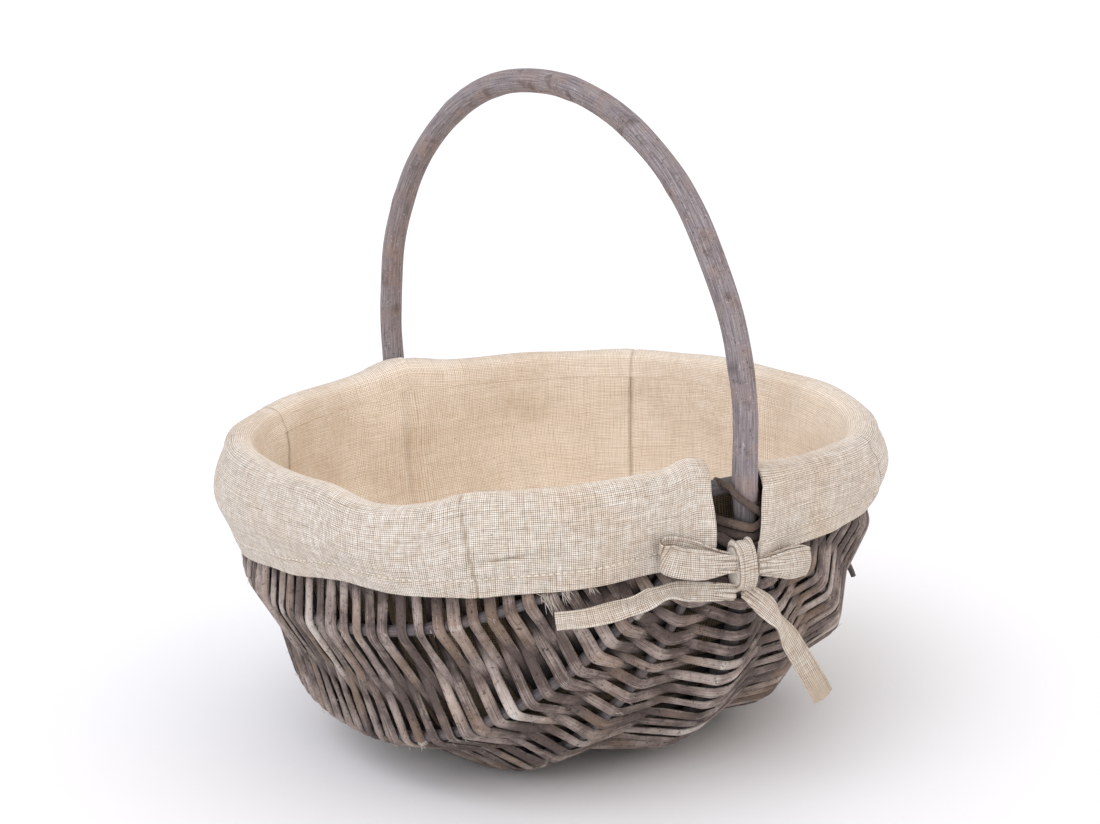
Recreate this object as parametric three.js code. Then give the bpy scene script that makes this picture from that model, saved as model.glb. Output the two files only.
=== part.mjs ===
// Lined wicker basket, in millimetres. +X is the long axis, the handle stands in the YZ plane and +Z is up.
// The origin is the middle of the resting face. Half a turn about Z brings the basket onto itself.
import * as THREE from "three";

// The two hoops: the rim lies flat, and the handle hoop goes on under the basket as its keel.
// They are bound to each other at the ears, so the handle's half length and height follow the rim's.
const RIM_HALF_X = 190;
const RIM_HALF_Y = 178;
const RIM_Z = 190;
const RIM_RADIUS = 5;
const RIM_SAG = 4.5;
const RIM_POWER = 2.35;
const HANDLE_RADIUS = 7.5;
const ROD_GAP = 0.3;
const HANDLE_HALF_Y = RIM_HALF_Y + RIM_RADIUS + HANDLE_RADIUS + ROD_GAP;
const HANDLE_SHOULDER = 32;
const HANDLE_WIDEST_Z = RIM_Z + HANDLE_SHOULDER;
const HANDLE_SWELL = 1.7;
const HANDLE_RISE = 185;
const HANDLE_POWER = 2.05;
const KEEL_RADIUS = 5.5;
const KEEL_TAPER = 30;
const KEEL_Z = 8.414;
const KEEL_POWER = 2.35;

// Each rib is the mirror of its twin: half width and height at the middle as shares of the rim's.
// The lowest rib lies a little lower than the keel, and all of them reach just past the rim at the ears.
const RIB_REACH = RIM_HALF_Y + 1;
const RIBS = {
  a: { x: RIM_HALF_X * 0.979, z: RIM_Z * 0.584, y: RIB_REACH, start: 50, press: 0 },
  b: { x: RIM_HALF_X * 0.8105, z: RIM_Z * 0.184, y: RIB_REACH, start: 24, press: 0 },
  c: { x: RIM_HALF_X * 0.479, z: KEEL_Z - 4.564, y: RIB_REACH, start: 43, press: 3 },
};
const RIB_RADIUS = 3.5;
const RIB_TIP_RADIUS = 1.6;
const RIB_TAPER = 90;
const RIB_POWER = 2.35;
const KEEL_PRESS = 13;
const PRESS_BLEND = 16;

// Split willow weavers: each one snakes over and under the ribs and turns round the rim.
const PASSES = 105;
const PASSES_EACH = 5;
const FIRST_ROW = 26;
const WEAVER_THICK = 2.6;
const ROW_GAP = 1.8;
const FIT = 0.4;
const WRAP_STEPS = 4;
const STEEPEST = 1.35;
const KEEL_SHIFT = 5.6;

// Cloth liner: four wall panels and a floor inside, and two cuffs folded out over the rim.
// The wall levels say how far the cloth stands in from the middle of the weave at each share of the height.
const CLOTH = 1.6;
const SEAM_GAP = 0.4;
const FLOOR_CLEAR = 2.6;
const FLOOR = { insetX: 17.4, insetY: 33, power: 2.5, columns: 18 };
const WALL_FOOT = { rise: 1, insetX: 21.2, insetY: 35.8, power: 2.5 };
const WALL_LEVELS = [
  { z: RIM_Z * 0.163, insetX: 18, insetY: 21.1, power: 2.5 },
  { z: RIM_Z * 0.242, insetX: 11.6, insetY: 18.4, power: 2.35 },
  { z: RIM_Z * 0.368, insetX: 7.2, insetY: 20.7, power: 2.45 },
  { z: RIM_Z * 0.547, insetX: 10.6, insetY: 19.8, power: 2.42 },
  { z: RIM_Z * 0.758, insetX: 10.2, insetY: 21, power: 2.38 },
];
const WALL_HEAD = { drop: 5.8, insetX: 10.7, insetY: 23.5, power: 2.35 };
const SEAM_TURNS = [0.101, 0.36, 0.601, 0.86];
const PANEL_COLUMNS = 13;
const CUFF_SLIT = 14.5;
const CUFF_FIT = 0.65;
const CUFF_TURN_STEPS = 4;
const CUFF_TUCK = 5.2;
const CUFF_SKIRT = [
  { drop: 0, out: 0.5, ear: 1 },
  { drop: 14, out: 1.6, ear: 5 },
  { drop: 28, out: 0.6, ear: 7 },
  { drop: 42, out: -1.6, ear: 8 },
];
const CUFF_COLUMNS = 26;
const EAR_SPREAD = 48;

// Bows: knot, loops and tails of folded tape. The tape is gathered where it enters the knot.
// The tape's route starts at the side or the underside of the knot and follows the curve of the weave.
const TAPE_WIDTH = 17;
const TAPE_GATHERED = 8;
const TAPE_THICK = 2;
const KNOT = { nest: 2.2, aside: 12, drop: 39, halfX: 7, halfY: 7, halfZ: 14, steps: 6, sides: 8 };
const LOOP_LEFT = [
  [-0.4, 1.9, 3.5],
  [-18, 7.4, 6],
  [-31, 8.7, 8.5],
  [-40, 8.1, 10],
  [-43.5, 4.6, 11],
  [-39, 0.6, 10.5],
  [-23, -2.3, 7.5],
  [-0.4, -4.1, 4],
];
const LOOP_RIGHT = [
  [1.6, 1.5, 2.5],
  [19, 3, -2],
  [33, 5.3, -7],
  [42, 6.4, -10.5],
  [44.5, 2.8, -11.5],
  [40, -1.4, -9.5],
  [22, -3.7, -2.5],
  [1.6, -3.4, 2.5],
];
const TAIL_LEFT = [
  [-2, 0, -1],
  [-20.8, 3.1, 2.5],
  [-39.2, 5.5, 4.5],
  [-62.5, 5.5, 0.5],
  [-83.2, 5.3, -3.8],
  [-100.8, 5.5, -5.4],
];
const TAIL_RIGHT = [
  [1, -1, -0.5],
  [20.3, -3, -19.6],
  [28, -4, -33],
  [40.7, -3, -55],
  [55.8, -2, -80.4],
];
const TAPE_STEPS = 10;

// The skein of split willow that binds the handle to the rim.
const SKEIN_WIDTH = 3.4;
const SKEIN_THICK = 2;
const SKEIN_TILT = 0.61;
const SKEIN_SLANT = 2;
const SKEIN_FIT = 0.8;
const SKEIN_STEPS = 24;

// The surfaces: weathered willow rod, split willow and unbleached canvas. All of them are matt.
const WILLOW_ROD = { color: 0x9a9192, roughness: 0.7, metalness: 0 };
const SPLIT_WILLOW = { color: 0x94867f, roughness: 0.66, metalness: 0 };
const CANVAS = { color: 0xe2d6c6, roughness: 0.9, metalness: 0 };

const V = (x, y, z) => new THREE.Vector3(x, y, z);
const UP = V(0, 0, 1);
const basket = new THREE.Group();
basket.name = "lined_wicker_basket";

// Makes one closed mesh from rings of equal length; an open run of rings is capped at both ends.
function addSolid(name, surface, rings, closed = false) {
  const count = rings[0].length;
  const position = rings.flat().flatMap((p) => [p.x, p.y, p.z]);
  const index = [];
  const quad = (a, b, c, d) => index.push(a, b, c, a, c, d);
  const last = closed ? rings.length : rings.length - 1;
  for (let i = 0; i < last; i += 1) {
    const here = i * count;
    const next = ((i + 1) % rings.length) * count;
    for (let j = 0; j < count; j += 1) {
      const k = (j + 1) % count;
      quad(here + j, here + k, next + k, next + j);
    }
  }
  if (!closed) {
    const end = (rings.length - 1) * count;
    for (let j = 0; j < count / 2 - 1; j += 1) {
      const far = count - 1 - j;
      quad(j, far, far - 1, j + 1);
      quad(end + j, end + j + 1, end + far - 1, end + far);
    }
  }
  let volume = 0;
  for (let i = 0; i < index.length; i += 3) {
    const [a, b, c] = [0, 1, 2].map((n) => V().fromArray(position, index[i + n] * 3));
    volume += a.dot(b.cross(c));
  }
  if (volume < 0) {
    index.reverse();
  }
  const geometry = new THREE.BufferGeometry();
  geometry.setAttribute("position", new THREE.Float32BufferAttribute(position, 3));
  geometry.setIndex(index);
  const mesh = new THREE.Mesh(geometry, new THREE.MeshStandardMaterial(surface));
  mesh.name = name;
  basket.add(mesh);
}

// A ring of points about a centre, in the plane of two given directions.
function roundRing(centre, across, along, radiusA, radiusB, sides) {
  const ring = [];
  for (let i = 0; i < sides; i += 1) {
    const turn = (i / sides) * 2 * Math.PI;
    const point = centre.clone();
    point.addScaledVector(across, radiusA * Math.cos(turn));
    point.addScaledVector(along, radiusB * Math.sin(turn));
    ring.push(point);
  }
  return ring;
}

// The four corners of a strip of split willow or tape.
function stripRing(centre, across, normal, width, thick) {
  const side = across.clone().multiplyScalar(width / 2);
  const face = normal.clone().multiplyScalar(thick / 2);
  return [
    centre.clone().sub(side).sub(face),
    centre.clone().add(side).sub(face),
    centre.clone().add(side).add(face),
    centre.clone().sub(side).add(face),
  ];
}

// Squared-off circle: the share of the half width and of the half length at one turn.
function squircle(turn, power) {
  const s = Math.sin(turn);
  const c = Math.cos(turn);
  return [
    Math.sign(s) * Math.abs(s) ** (2 / power),
    Math.sign(c) * Math.abs(c) ** (2 / power),
  ];
}

// Points along a curve at equal steps of a turn, with the distance walked to each.
function measured(curve, turns, steps) {
  const points = [];
  const walked = [0];
  for (let i = 0; i <= steps; i += 1) {
    points.push(curve((turns * i) / steps));
    if (i > 0) {
      walked.push(walked[i - 1] + points[i].distanceTo(points[i - 1]));
    }
  }
  const length = walked[steps];
  const at = (distance) => {
    const goal = Math.min(Math.max(distance, 0), length);
    let i = 1;
    while (i < steps && walked[i] < goal) {
      i += 1;
    }
    const share = (goal - walked[i - 1]) / (walked[i] - walked[i - 1]);
    return points[i - 1].clone().lerp(points[i], share);
  };
  const heading = (distance) => {
    const step = 1.5;
    return at(distance + step).sub(at(distance - step)).normalize();
  };
  return { at, heading, length };
}

// The drop of a rib below the rim, pressed flat where it would go under its lowest height.
function pressed(share, low, press) {
  const over = RIM_Z - (RIM_Z - low + press) * share - low;
  if (over <= -PRESS_BLEND) {
    return low;
  }
  if (over >= PRESS_BLEND) {
    return low + over;
  }
  return low + (over + PRESS_BLEND) ** 2 / (4 * PRESS_BLEND);
}

// Half of the rim from the near ear to the far ear, on the side of the given sign.
function rimCurve(side) {
  return (turn) => {
    const [s, c] = squircle(turn, RIM_POWER);
    return V(side * RIM_HALF_X * s, -RIM_HALF_Y * c, RIM_Z - RIM_SAG * s * s);
  };
}

// One rib from ear to ear; only the ribs that reach the base are pressed flat.
function ribCurve(side, rib) {
  return (turn) => {
    const [s, c] = squircle(turn, RIB_POWER);
    const z = rib.press > 0 ? pressed(s, rib.z, rib.press) : RIM_Z + (rib.z - RIM_Z) * s;
    return V(side * rib.x * s, -rib.y * c, z);
  };
}

function keelCurve(turn) {
  const [s, c] = squircle(turn, KEEL_POWER);
  return V(0, -HANDLE_HALF_Y * c, pressed(s, KEEL_Z, KEEL_PRESS));
}

// The handle hoop thins below the rim, where it becomes the keel.
function hoopRadius(z) {
  const depth = Math.min(Math.max((RIM_Z - z) / KEEL_TAPER, 0), 1);
  return HANDLE_RADIUS + (KEEL_RADIUS - HANDLE_RADIUS) * depth;
}

function ribRadius(distance, length, start) {
  const fromEnd = Math.min(distance, length - distance) - start;
  const share = Math.min(Math.max(fromEnd / RIB_TAPER, 0), 1);
  return RIB_TIP_RADIUS + (RIB_RADIUS - RIB_TIP_RADIUS) * Math.sqrt(share);
}

// The carriers that each pass crosses, from the rim at -X, under the basket, to the rim at +X.
const HALF_TURN = Math.PI;
const CURVE_STEPS = 360;
const carriers = [];
carriers.push({ kind: "rim", side: -1, path: measured(rimCurve(-1), HALF_TURN, CURVE_STEPS) });
for (const key of ["a", "b", "c"]) {
  carriers.push({ kind: key, side: -1, path: measured(ribCurve(-1, RIBS[key]), HALF_TURN, CURVE_STEPS) });
}
carriers.push({ kind: "keel", side: 0, path: measured(keelCurve, HALF_TURN, CURVE_STEPS) });
for (const key of ["c", "b", "a"]) {
  carriers.push({ kind: key, side: 1, path: measured(ribCurve(1, RIBS[key]), HALF_TURN, CURVE_STEPS) });
}
carriers.push({ kind: "rim", side: 1, path: measured(rimCurve(1), HALF_TURN, CURVE_STEPS) });

const RIM_AT = carriers.length - 1;
const KEEL_AT = RIM_AT / 2;

// Where a row meets a carrier, as a distance along it from the near ear.
function rowAt(carrier, row) {
  return FIRST_ROW + ((carrier.path.length - 2 * FIRST_ROW) * row) / (PASSES - 1);
}

function rowWidth(carrier) {
  return (carrier.path.length - 2 * FIRST_ROW) / (PASSES - 1) - ROW_GAP;
}

// Rim hoop, a closed ring of peeled willow.
const RIM_SEGMENTS = 52;
const RIM_SIDES = 8;
const rimRings = [];
for (let i = 0; i < RIM_SEGMENTS; i += 1) {
  const turn = (i / RIM_SEGMENTS) * 2 * Math.PI;
  const point = rimCurve(1)(turn);
  const ahead = rimCurve(1)(turn + 0.01).sub(rimCurve(1)(turn - 0.01)).normalize();
  const outward = ahead.clone().cross(UP).normalize();
  rimRings.push(roundRing(point, outward, UP, RIM_RADIUS, RIM_RADIUS, RIM_SIDES));
}
addSolid("rim_hoop", WILLOW_ROD, rimRings, true);

// Handle hoop: the arch above the rim and the keel below it are one closed ring.
const HANDLE_SIDES = 8;
const ARCH_SEGMENTS = 30;
const KEEL_SEGMENTS = 34;
const handlePoints = [];
const keelPath = carriers[KEEL_AT].path;
for (let i = 0; i <= KEEL_SEGMENTS; i += 1) {
  handlePoints.push(keelPath.at((keelPath.length * i) / KEEL_SEGMENTS));
}
for (let i = 0; i <= ARCH_SEGMENTS; i += 1) {
  const [s, c] = squircle((i / ARCH_SEGMENTS) * Math.PI, HANDLE_POWER);
  const half = HANDLE_HALF_Y + HANDLE_SWELL;
  handlePoints.push(V(0, half * c, HANDLE_WIDEST_Z + HANDLE_RISE * s));
}
const handleRings = handlePoints.map((point, i) => {
  const count = handlePoints.length;
  const before = handlePoints[(i + count - 1) % count];
  const after = handlePoints[(i + 1) % count];
  const ahead = after.clone().sub(before).normalize();
  const outward = ahead.clone().cross(V(1, 0, 0)).normalize();
  const radius = hoopRadius(point.z);
  return roundRing(point, outward, V(1, 0, 0), radius, radius, HANDLE_SIDES);
});
addSolid("handle_hoop", WILLOW_ROD, handleRings, true);

// Ribs: three a side, with thin ends that stop short of the ears.
const RIB_SEGMENTS = 26;
const RIB_SIDES = 6;
const BASKET_MIDDLE = V(0, 0, RIM_Z);
for (const carrier of carriers) {
  if (carrier.kind === "rim" || carrier.kind === "keel") {
    continue;
  }
  const rings = [];
  const { start } = RIBS[carrier.kind];
  for (let i = 0; i <= RIB_SEGMENTS; i += 1) {
    const run = carrier.path.length - 2 * start;
    const distance = start + (run * i) / RIB_SEGMENTS;
    const ahead = carrier.path.heading(distance);
    const point = carrier.path.at(distance);
    const across = ahead.clone().cross(point.clone().sub(BASKET_MIDDLE)).normalize();
    const outward = across.clone().cross(ahead).normalize();
    const radius = ribRadius(distance, carrier.path.length, start);
    rings.push(roundRing(point, outward, across, radius, radius, RIB_SIDES));
  }
  addSolid(`rib_${carrier.kind}_${carrier.side > 0 ? "right" : "left"}`, WILLOW_ROD, rings);
}

// The outward normal of the woven surface where a row crosses a carrier.
function weaveNormal(at, row) {
  const here = carriers[at];
  const before = carriers[Math.max(at - 1, 0)];
  const after = carriers[Math.min(at + 1, RIM_AT)];
  const across = after.path.at(rowAt(after, row)).sub(before.path.at(rowAt(before, row)));
  return here.path.heading(rowAt(here, row)).cross(across).normalize();
}

// Plain weave: neighbouring rows pass a carrier on opposite sides.
function rowSide(at, row) {
  return (row + at) % 2 === 0 ? -1 : 1;
}

// A strip turns over at the rim, so its other side faces out on the way back.
function rowFace(row) {
  return row % 2 === 0 ? 1 : -1;
}

function rowPoint(at, row) {
  return carriers[at].path.at(rowAt(carriers[at], row));
}

function carrierRadius(at, row) {
  const carrier = carriers[at];
  if (carrier.kind === "rim") {
    return RIM_RADIUS;
  }
  if (carrier.kind === "keel") {
    return hoopRadius(rowPoint(at, row).z);
  }
  return ribRadius(rowAt(carrier, row), carrier.path.length, RIBS[carrier.kind].start);
}

// The first rows pass before the thin end of a rib that starts further down.
function isThere(at, row) {
  const carrier = carriers[at];
  const start = RIBS[carrier.kind]?.start ?? 0;
  const distance = rowAt(carrier, row);
  return Math.min(distance, carrier.path.length - distance) > start;
}

// How far a weaver stands off a carrier: more where it has to cross over steeply to the next one.
function standOff(at, row) {
  const clear = carrierRadius(at, row) + FIT;
  let steep = 1;
  for (const next of [at - 1, at + 1]) {
    const span = rowPoint(at, row).distanceTo(rowPoint(next, row));
    const climb = clear + carrierRadius(next, row) + FIT + WEAVER_THICK;
    steep = Math.max(steep, Math.hypot(span, climb) / span);
  }
  return clear * Math.min(steep, STEEPEST) + WEAVER_THICK / 2;
}

// The strip where it crosses a carrier, moved by a shift along the strip.
function crossing(at, row, shift = 0) {
  const carrier = carriers[at];
  const heading = carrier.path.heading(rowAt(carrier, row));
  const normal = weaveNormal(at, row);
  const centre = rowPoint(at, row);
  centre.addScaledVector(normal, rowSide(at, row) * standOff(at, row));
  centre.addScaledVector(heading.clone().cross(normal), shift);
  normal.multiplyScalar(rowFace(row));
  return stripRing(centre, heading, normal, rowWidth(carrier), WEAVER_THICK);
}

// A station of the turn round the rim; lift 0 is beside it outside, half a turn is beside it inside.
function rimStation(at, row, lift, face) {
  const carrier = carriers[at];
  const distance = rowAt(carrier, row);
  const heading = carrier.path.heading(distance);
  const outward = heading.clone().cross(UP).multiplyScalar(carrier.side).normalize();
  const spread = outward.multiplyScalar(Math.cos(lift)).addScaledVector(UP, Math.sin(lift));
  const reach = (RIM_RADIUS + FIT) / Math.cos(Math.PI / WRAP_STEPS / 2) + WEAVER_THICK / 2;
  const centre = carrier.path.at(distance).addScaledVector(spread, reach);
  spread.multiplyScalar(face);
  return stripRing(centre, heading, spread, rowWidth(carrier), WEAVER_THICK);
}

function rimLift(at, row) {
  return rowSide(at, row) > 0 ? 0 : Math.PI;
}

// The side of the strip that lies away from the rim hoop, for a row that meets it.
function rimFace(at, row) {
  return rowFace(row) * rowSide(at, row);
}

// Weavers: five passes each, turning over the rim between passes.
const WEAVERS = PASSES / PASSES_EACH;
for (let w = 0; w < WEAVERS; w += 1) {
  const first = w * PASSES_EACH;
  const rings = [];
  for (let p = 0; p < PASSES_EACH; p += 1) {
    const row = first + p;
    const forward = row % 2 === 0;
    const start = forward ? 0 : RIM_AT;
    const end = forward ? RIM_AT : 0;
    const step = forward ? 1 : -1;
    if (p === 0) {
      const lift = rimLift(start, row);
      const face = rimFace(start, row);
      const lead = (lift > 0 ? -1 : 1) * Math.PI / WRAP_STEPS;
      rings.push(rimStation(start, row, lift + lead, face));
      rings.push(rimStation(start, row, lift, face));
    }
    for (let at = start + step; at !== end; at += step) {
      if (at === KEEL_AT) {
        rings.push(crossing(at, row, step * KEEL_SHIFT));
        rings.push(crossing(at, row, -step * KEEL_SHIFT));
      } else if (isThere(at, row)) {
        rings.push(crossing(at, row));
      }
    }
    const from = rimLift(end, row);
    const face = rimFace(end, row);
    if (p === PASSES_EACH - 1) {
      const tail = (from > 0 ? -1 : 1) * Math.PI / WRAP_STEPS;
      rings.push(rimStation(end, row, from, face));
      rings.push(rimStation(end, row, from + tail, face));
    } else {
      for (let i = 0; i <= WRAP_STEPS; i += 1) {
        const share = i / WRAP_STEPS;
        rings.push(rimStation(end, row + share, from + (Math.PI - 2 * from) * share, face));
      }
    }
  }
  addSolid(`weaver_${String(w + 1).padStart(2, "0")}`, SPLIT_WILLOW, rings);
}

// A skin of cloth from a grid of points, thickened to both sides of the grid.
function addCloth(name, columns) {
  const rings = columns.map((column, i) => {
    const before = columns[Math.max(i - 1, 0)];
    const after = columns[Math.min(i + 1, columns.length - 1)];
    const faces = column.map((point, j) => {
      const below = column[Math.max(j - 1, 0)];
      const above = column[Math.min(j + 1, column.length - 1)];
      const sideways = after[j].clone().sub(before[j]);
      const normal = sideways.cross(above.clone().sub(below)).normalize();
      return normal.multiplyScalar(CLOTH / 2);
    });
    const front = column.map((point, j) => point.clone().add(faces[j]));
    const back = column.map((point, j) => point.clone().sub(faces[j]));
    return front.concat(back.reverse());
  });
  addSolid(name, CANVAS, rings);
}

// Half width of the weave's middle at a height, across the basket's middle.
function weaveHalfX(z) {
  const corners = [RIBS.c, RIBS.b, RIBS.a, { x: RIM_HALF_X, z: RIM_Z }];
  let i = 1;
  while (i < corners.length - 1 && corners[i].z < z) {
    i += 1;
  }
  const share = (z - corners[i - 1].z) / (corners[i].z - corners[i - 1].z);
  return corners[i - 1].x + (corners[i].x - corners[i - 1].x) * share;
}

// Half length of the keel at a height.
function keelHalfY(z) {
  let distance = 0;
  while (distance < keelPath.length / 2 && keelPath.at(distance).z > z) {
    distance += 0.5;
  }
  return -keelPath.at(distance).y;
}

const floorZ = KEEL_Z + KEEL_RADIUS + FIT + WEAVER_THICK + FLOOR_CLEAR;
const wallLevels = [
  { ...WALL_FOOT, z: floorZ + CLOTH + WALL_FOOT.rise },
  ...WALL_LEVELS,
  { ...WALL_HEAD, z: RIM_Z - WALL_HEAD.drop },
].map((level) => ({
  ...level,
  x: weaveHalfX(level.z) - level.insetX,
  y: keelHalfY(level.z) - level.insetY,
}));

// Wall panels of the liner, sewn side to side at four seams.
for (let n = 0; n < SEAM_TURNS.length; n += 1) {
  const from = SEAM_TURNS[n];
  const to = SEAM_TURNS[(n + 1) % SEAM_TURNS.length] + (n === SEAM_TURNS.length - 1 ? 1 : 0);
  const trim = SEAM_GAP / 2 / (2 * Math.PI * RIM_HALF_Y);
  const columns = [];
  for (let i = 0; i <= PANEL_COLUMNS; i += 1) {
    const turn = from + trim + ((to - from - 2 * trim) * i) / PANEL_COLUMNS;
    columns.push(wallLevels.map((level) => {
      const [s, c] = squircle(turn * 2 * Math.PI, level.power);
      const dip = (RIM_SAG * s * s * level.z) / RIM_Z;
      return V(level.x * s, -level.y * c, level.z - dip);
    }));
  }
  addCloth(`liner_wall_${n + 1}`, columns);
}

// Floor of the liner, lying on the keel and the lowest ribs.
const floorHalfX = weaveHalfX(floorZ) - FLOOR.insetX;
const floorHalfY = keelHalfY(floorZ) - FLOOR.insetY;
const floorRings = [];
for (let i = 0; i <= FLOOR.columns; i += 1) {
  const turn = Math.PI * (0.04 + (0.92 * i) / FLOOR.columns);
  const [s, c] = squircle(turn, FLOOR.power);
  const centre = V(-floorHalfX * c, 0, floorZ + CLOTH / 2);
  floorRings.push(stripRing(centre, V(0, 1, 0), UP, 2 * floorHalfY * s, CLOTH));
}
addSolid("liner_floor", CANVAS, floorRings);

// Cuffs: each goes over the rim at one end of the basket, from slit to slit.
const cuffReach = (RIM_RADIUS + FIT) / Math.cos(Math.PI / WRAP_STEPS / 2) + WEAVER_THICK + CUFF_FIT + CLOTH / 2;
const cuffLevels = [{ out: -cuffReach, rise: -CUFF_TUCK, ear: 0 }];
for (let i = 0; i < CUFF_TURN_STEPS; i += 1) {
  const turn = Math.PI * (1 - i / CUFF_TURN_STEPS);
  cuffLevels.push({ out: cuffReach * Math.cos(turn), rise: cuffReach * Math.sin(turn), ear: 0 });
}
for (const level of CUFF_SKIRT) {
  cuffLevels.push({ out: cuffReach + level.out, rise: -level.drop, ear: level.ear });
}
for (const carrier of [carriers[0], carriers[RIM_AT]]) {
  const columns = [];
  for (let i = 0; i <= CUFF_COLUMNS; i += 1) {
    const run = carrier.path.length - 2 * CUFF_SLIT;
    const distance = CUFF_SLIT + (run * i) / CUFF_COLUMNS;
    const heading = carrier.path.heading(distance);
    const outward = heading.clone().cross(UP).multiplyScalar(carrier.side).normalize();
    const fromSlit = Math.min(distance, carrier.path.length - distance) - CUFF_SLIT;
    const nearEar = Math.max(1 - fromSlit / EAR_SPREAD, 0) ** 2;
    columns.push(cuffLevels.map((level) => {
      const point = carrier.path.at(distance);
      point.addScaledVector(outward, level.out + level.ear * nearEar);
      point.z += level.rise;
      return point;
    }));
  }
  addCloth(`liner_cuff_${carrier.side > 0 ? "right" : "left"}`, columns);
}

// Adds a piece at the front ear, and the same piece turned half round at the back ear.
function addAtBothEars(name, surface, rings, closed = false) {
  addSolid(`${name}_front`, surface, rings, closed);
  const turned = rings.map((ring) => ring.map((p) => V(-p.x, -p.y, p.z)));
  addSolid(`${name}_back`, surface, turned, closed);
}

// Skein: one turn round the handle and the rim together, in a tilted plane.
const skeinAlong = V(Math.cos(SKEIN_TILT), 0, Math.sin(SKEIN_TILT));
const skeinAcross = V(-Math.sin(SKEIN_TILT), 0, Math.cos(SKEIN_TILT));
const skeinOff = SKEIN_FIT + SKEIN_THICK / 2;
const rods = [
  { y: -HANDLE_HALF_Y, deep: HANDLE_RADIUS, wide: HANDLE_RADIUS / Math.cos(SKEIN_TILT) + SKEIN_SLANT },
  { y: -RIM_HALF_Y, deep: RIM_RADIUS, wide: RIM_RADIUS / Math.sin(SKEIN_TILT) + SKEIN_SLANT },
];
const skeinRings = [];
for (let i = 0; i < SKEIN_STEPS; i += 1) {
  const turn = ((i + 0.5) / SKEIN_STEPS) * 2 * Math.PI;
  const reaches = rods.map((rod) => {
    const deep = rod.deep + skeinOff;
    const wide = rod.wide + skeinOff;
    const reach = Math.hypot(deep * Math.cos(turn), wide * Math.sin(turn));
    const y = rod.y + (deep * deep * Math.cos(turn)) / reach;
    return { far: rod.y * Math.cos(turn) + reach, y, along: (wide * wide * Math.sin(turn)) / reach };
  });
  const held = reaches[0].far > reaches[1].far ? reaches[0] : reaches[1];
  const centre = V(0, held.y, RIM_Z).addScaledVector(skeinAlong, held.along);
  const outward = V(0, Math.cos(turn), 0).addScaledVector(skeinAlong, Math.sin(turn));
  skeinRings.push(stripRing(centre, skeinAcross, outward, SKEIN_WIDTH, SKEIN_THICK));
}
addAtBothEars("handle_skein", SPLIT_WILLOW, skeinRings, true);

// How far the weave has drawn back from the ear at a distance to the side.
function drawnBack(x, z) {
  const left = 1 - (Math.abs(x) / weaveHalfX(z)) ** RIM_POWER;
  return keelHalfY(z) * (1 - left ** (1 / RIM_POWER));
}

// Knot of the bow: an upright bundle of tape, a little to the left of the handle.
// It nests beside the keel, where the strips over the keel run down to the next rib.
const knotZ = RIM_Z - KNOT.drop;
const knotY = -(keelHalfY(knotZ) + KEEL_RADIUS + FIT + WEAVER_THICK + KNOT.halfY - KNOT.nest);
const knotRings = [];
for (let i = 0; i <= KNOT.steps; i += 1) {
  const along = Math.cos((Math.PI * i) / KNOT.steps);
  const swell = Math.max(Math.sqrt(1 - along * along), 0.45);
  const centre = V(KNOT.halfX * along - KNOT.aside, knotY, knotZ);
  knotRings.push(roundRing(centre, V(0, 1, 0), UP, KNOT.halfY * swell, KNOT.halfZ * swell, KNOT.sides));
}
addAtBothEars("bow_knot", CANVAS, knotRings);

// A run of tape along a smooth path, gathered at the ends that enter the knot.
function tapeRings(path, from, acrossHint, loop) {
  const start = V(from[0] * KNOT.halfX - KNOT.aside, knotY, knotZ + from[1] * KNOT.halfZ);
  const route = path.map((p) => V(...p).add(start));
  for (const point of route) {
    point.y += drawnBack(point.x, knotZ);
  }
  const curve = new THREE.CatmullRomCurve3(route);
  const steps = loop ? TAPE_STEPS + 6 : TAPE_STEPS;
  const rings = [];
  for (let i = 0; i <= steps; i += 1) {
    const share = i / steps;
    const heading = curve.getTangentAt(share);
    const across = acrossHint.clone().addScaledVector(heading, -acrossHint.dot(heading)).normalize();
    const normal = heading.clone().cross(across).normalize();
    const free = loop ? Math.min(share, 1 - share) * 3 : share * 4;
    const width = TAPE_GATHERED + (TAPE_WIDTH - TAPE_GATHERED) * Math.min(free, 1);
    rings.push(stripRing(curve.getPointAt(share), across, normal, width, TAPE_THICK));
  }
  return rings;
}

addAtBothEars("bow_loop_left", CANVAS, tapeRings(LOOP_LEFT, [-1, 0], UP, true));
addAtBothEars("bow_loop_right", CANVAS, tapeRings(LOOP_RIGHT, [1, 0], V(0.3, 0, 1), true));
addAtBothEars("bow_tail_left", CANVAS, tapeRings(TAIL_LEFT, [-0.45, -1], UP, false));
addAtBothEars("bow_tail_right", CANVAS, tapeRings(TAIL_RIGHT, [0, -1], V(1, 0, 0.35), false));

export default basket;
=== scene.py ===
import math

import bpy
import numpy as np
from mathutils import Matrix, Vector


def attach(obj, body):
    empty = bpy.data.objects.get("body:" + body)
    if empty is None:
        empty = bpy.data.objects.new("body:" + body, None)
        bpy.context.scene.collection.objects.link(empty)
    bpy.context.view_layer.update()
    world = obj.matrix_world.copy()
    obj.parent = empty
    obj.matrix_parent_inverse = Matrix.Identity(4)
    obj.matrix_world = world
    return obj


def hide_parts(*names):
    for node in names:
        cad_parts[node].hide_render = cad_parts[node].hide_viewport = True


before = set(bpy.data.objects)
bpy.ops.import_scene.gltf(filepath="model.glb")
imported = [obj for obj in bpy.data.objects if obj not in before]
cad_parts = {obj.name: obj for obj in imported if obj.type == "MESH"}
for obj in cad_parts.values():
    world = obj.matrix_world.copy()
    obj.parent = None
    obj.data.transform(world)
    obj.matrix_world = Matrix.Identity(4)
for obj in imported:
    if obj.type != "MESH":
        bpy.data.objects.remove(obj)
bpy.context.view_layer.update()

scene = bpy.context.scene
MM = 0.001

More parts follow.
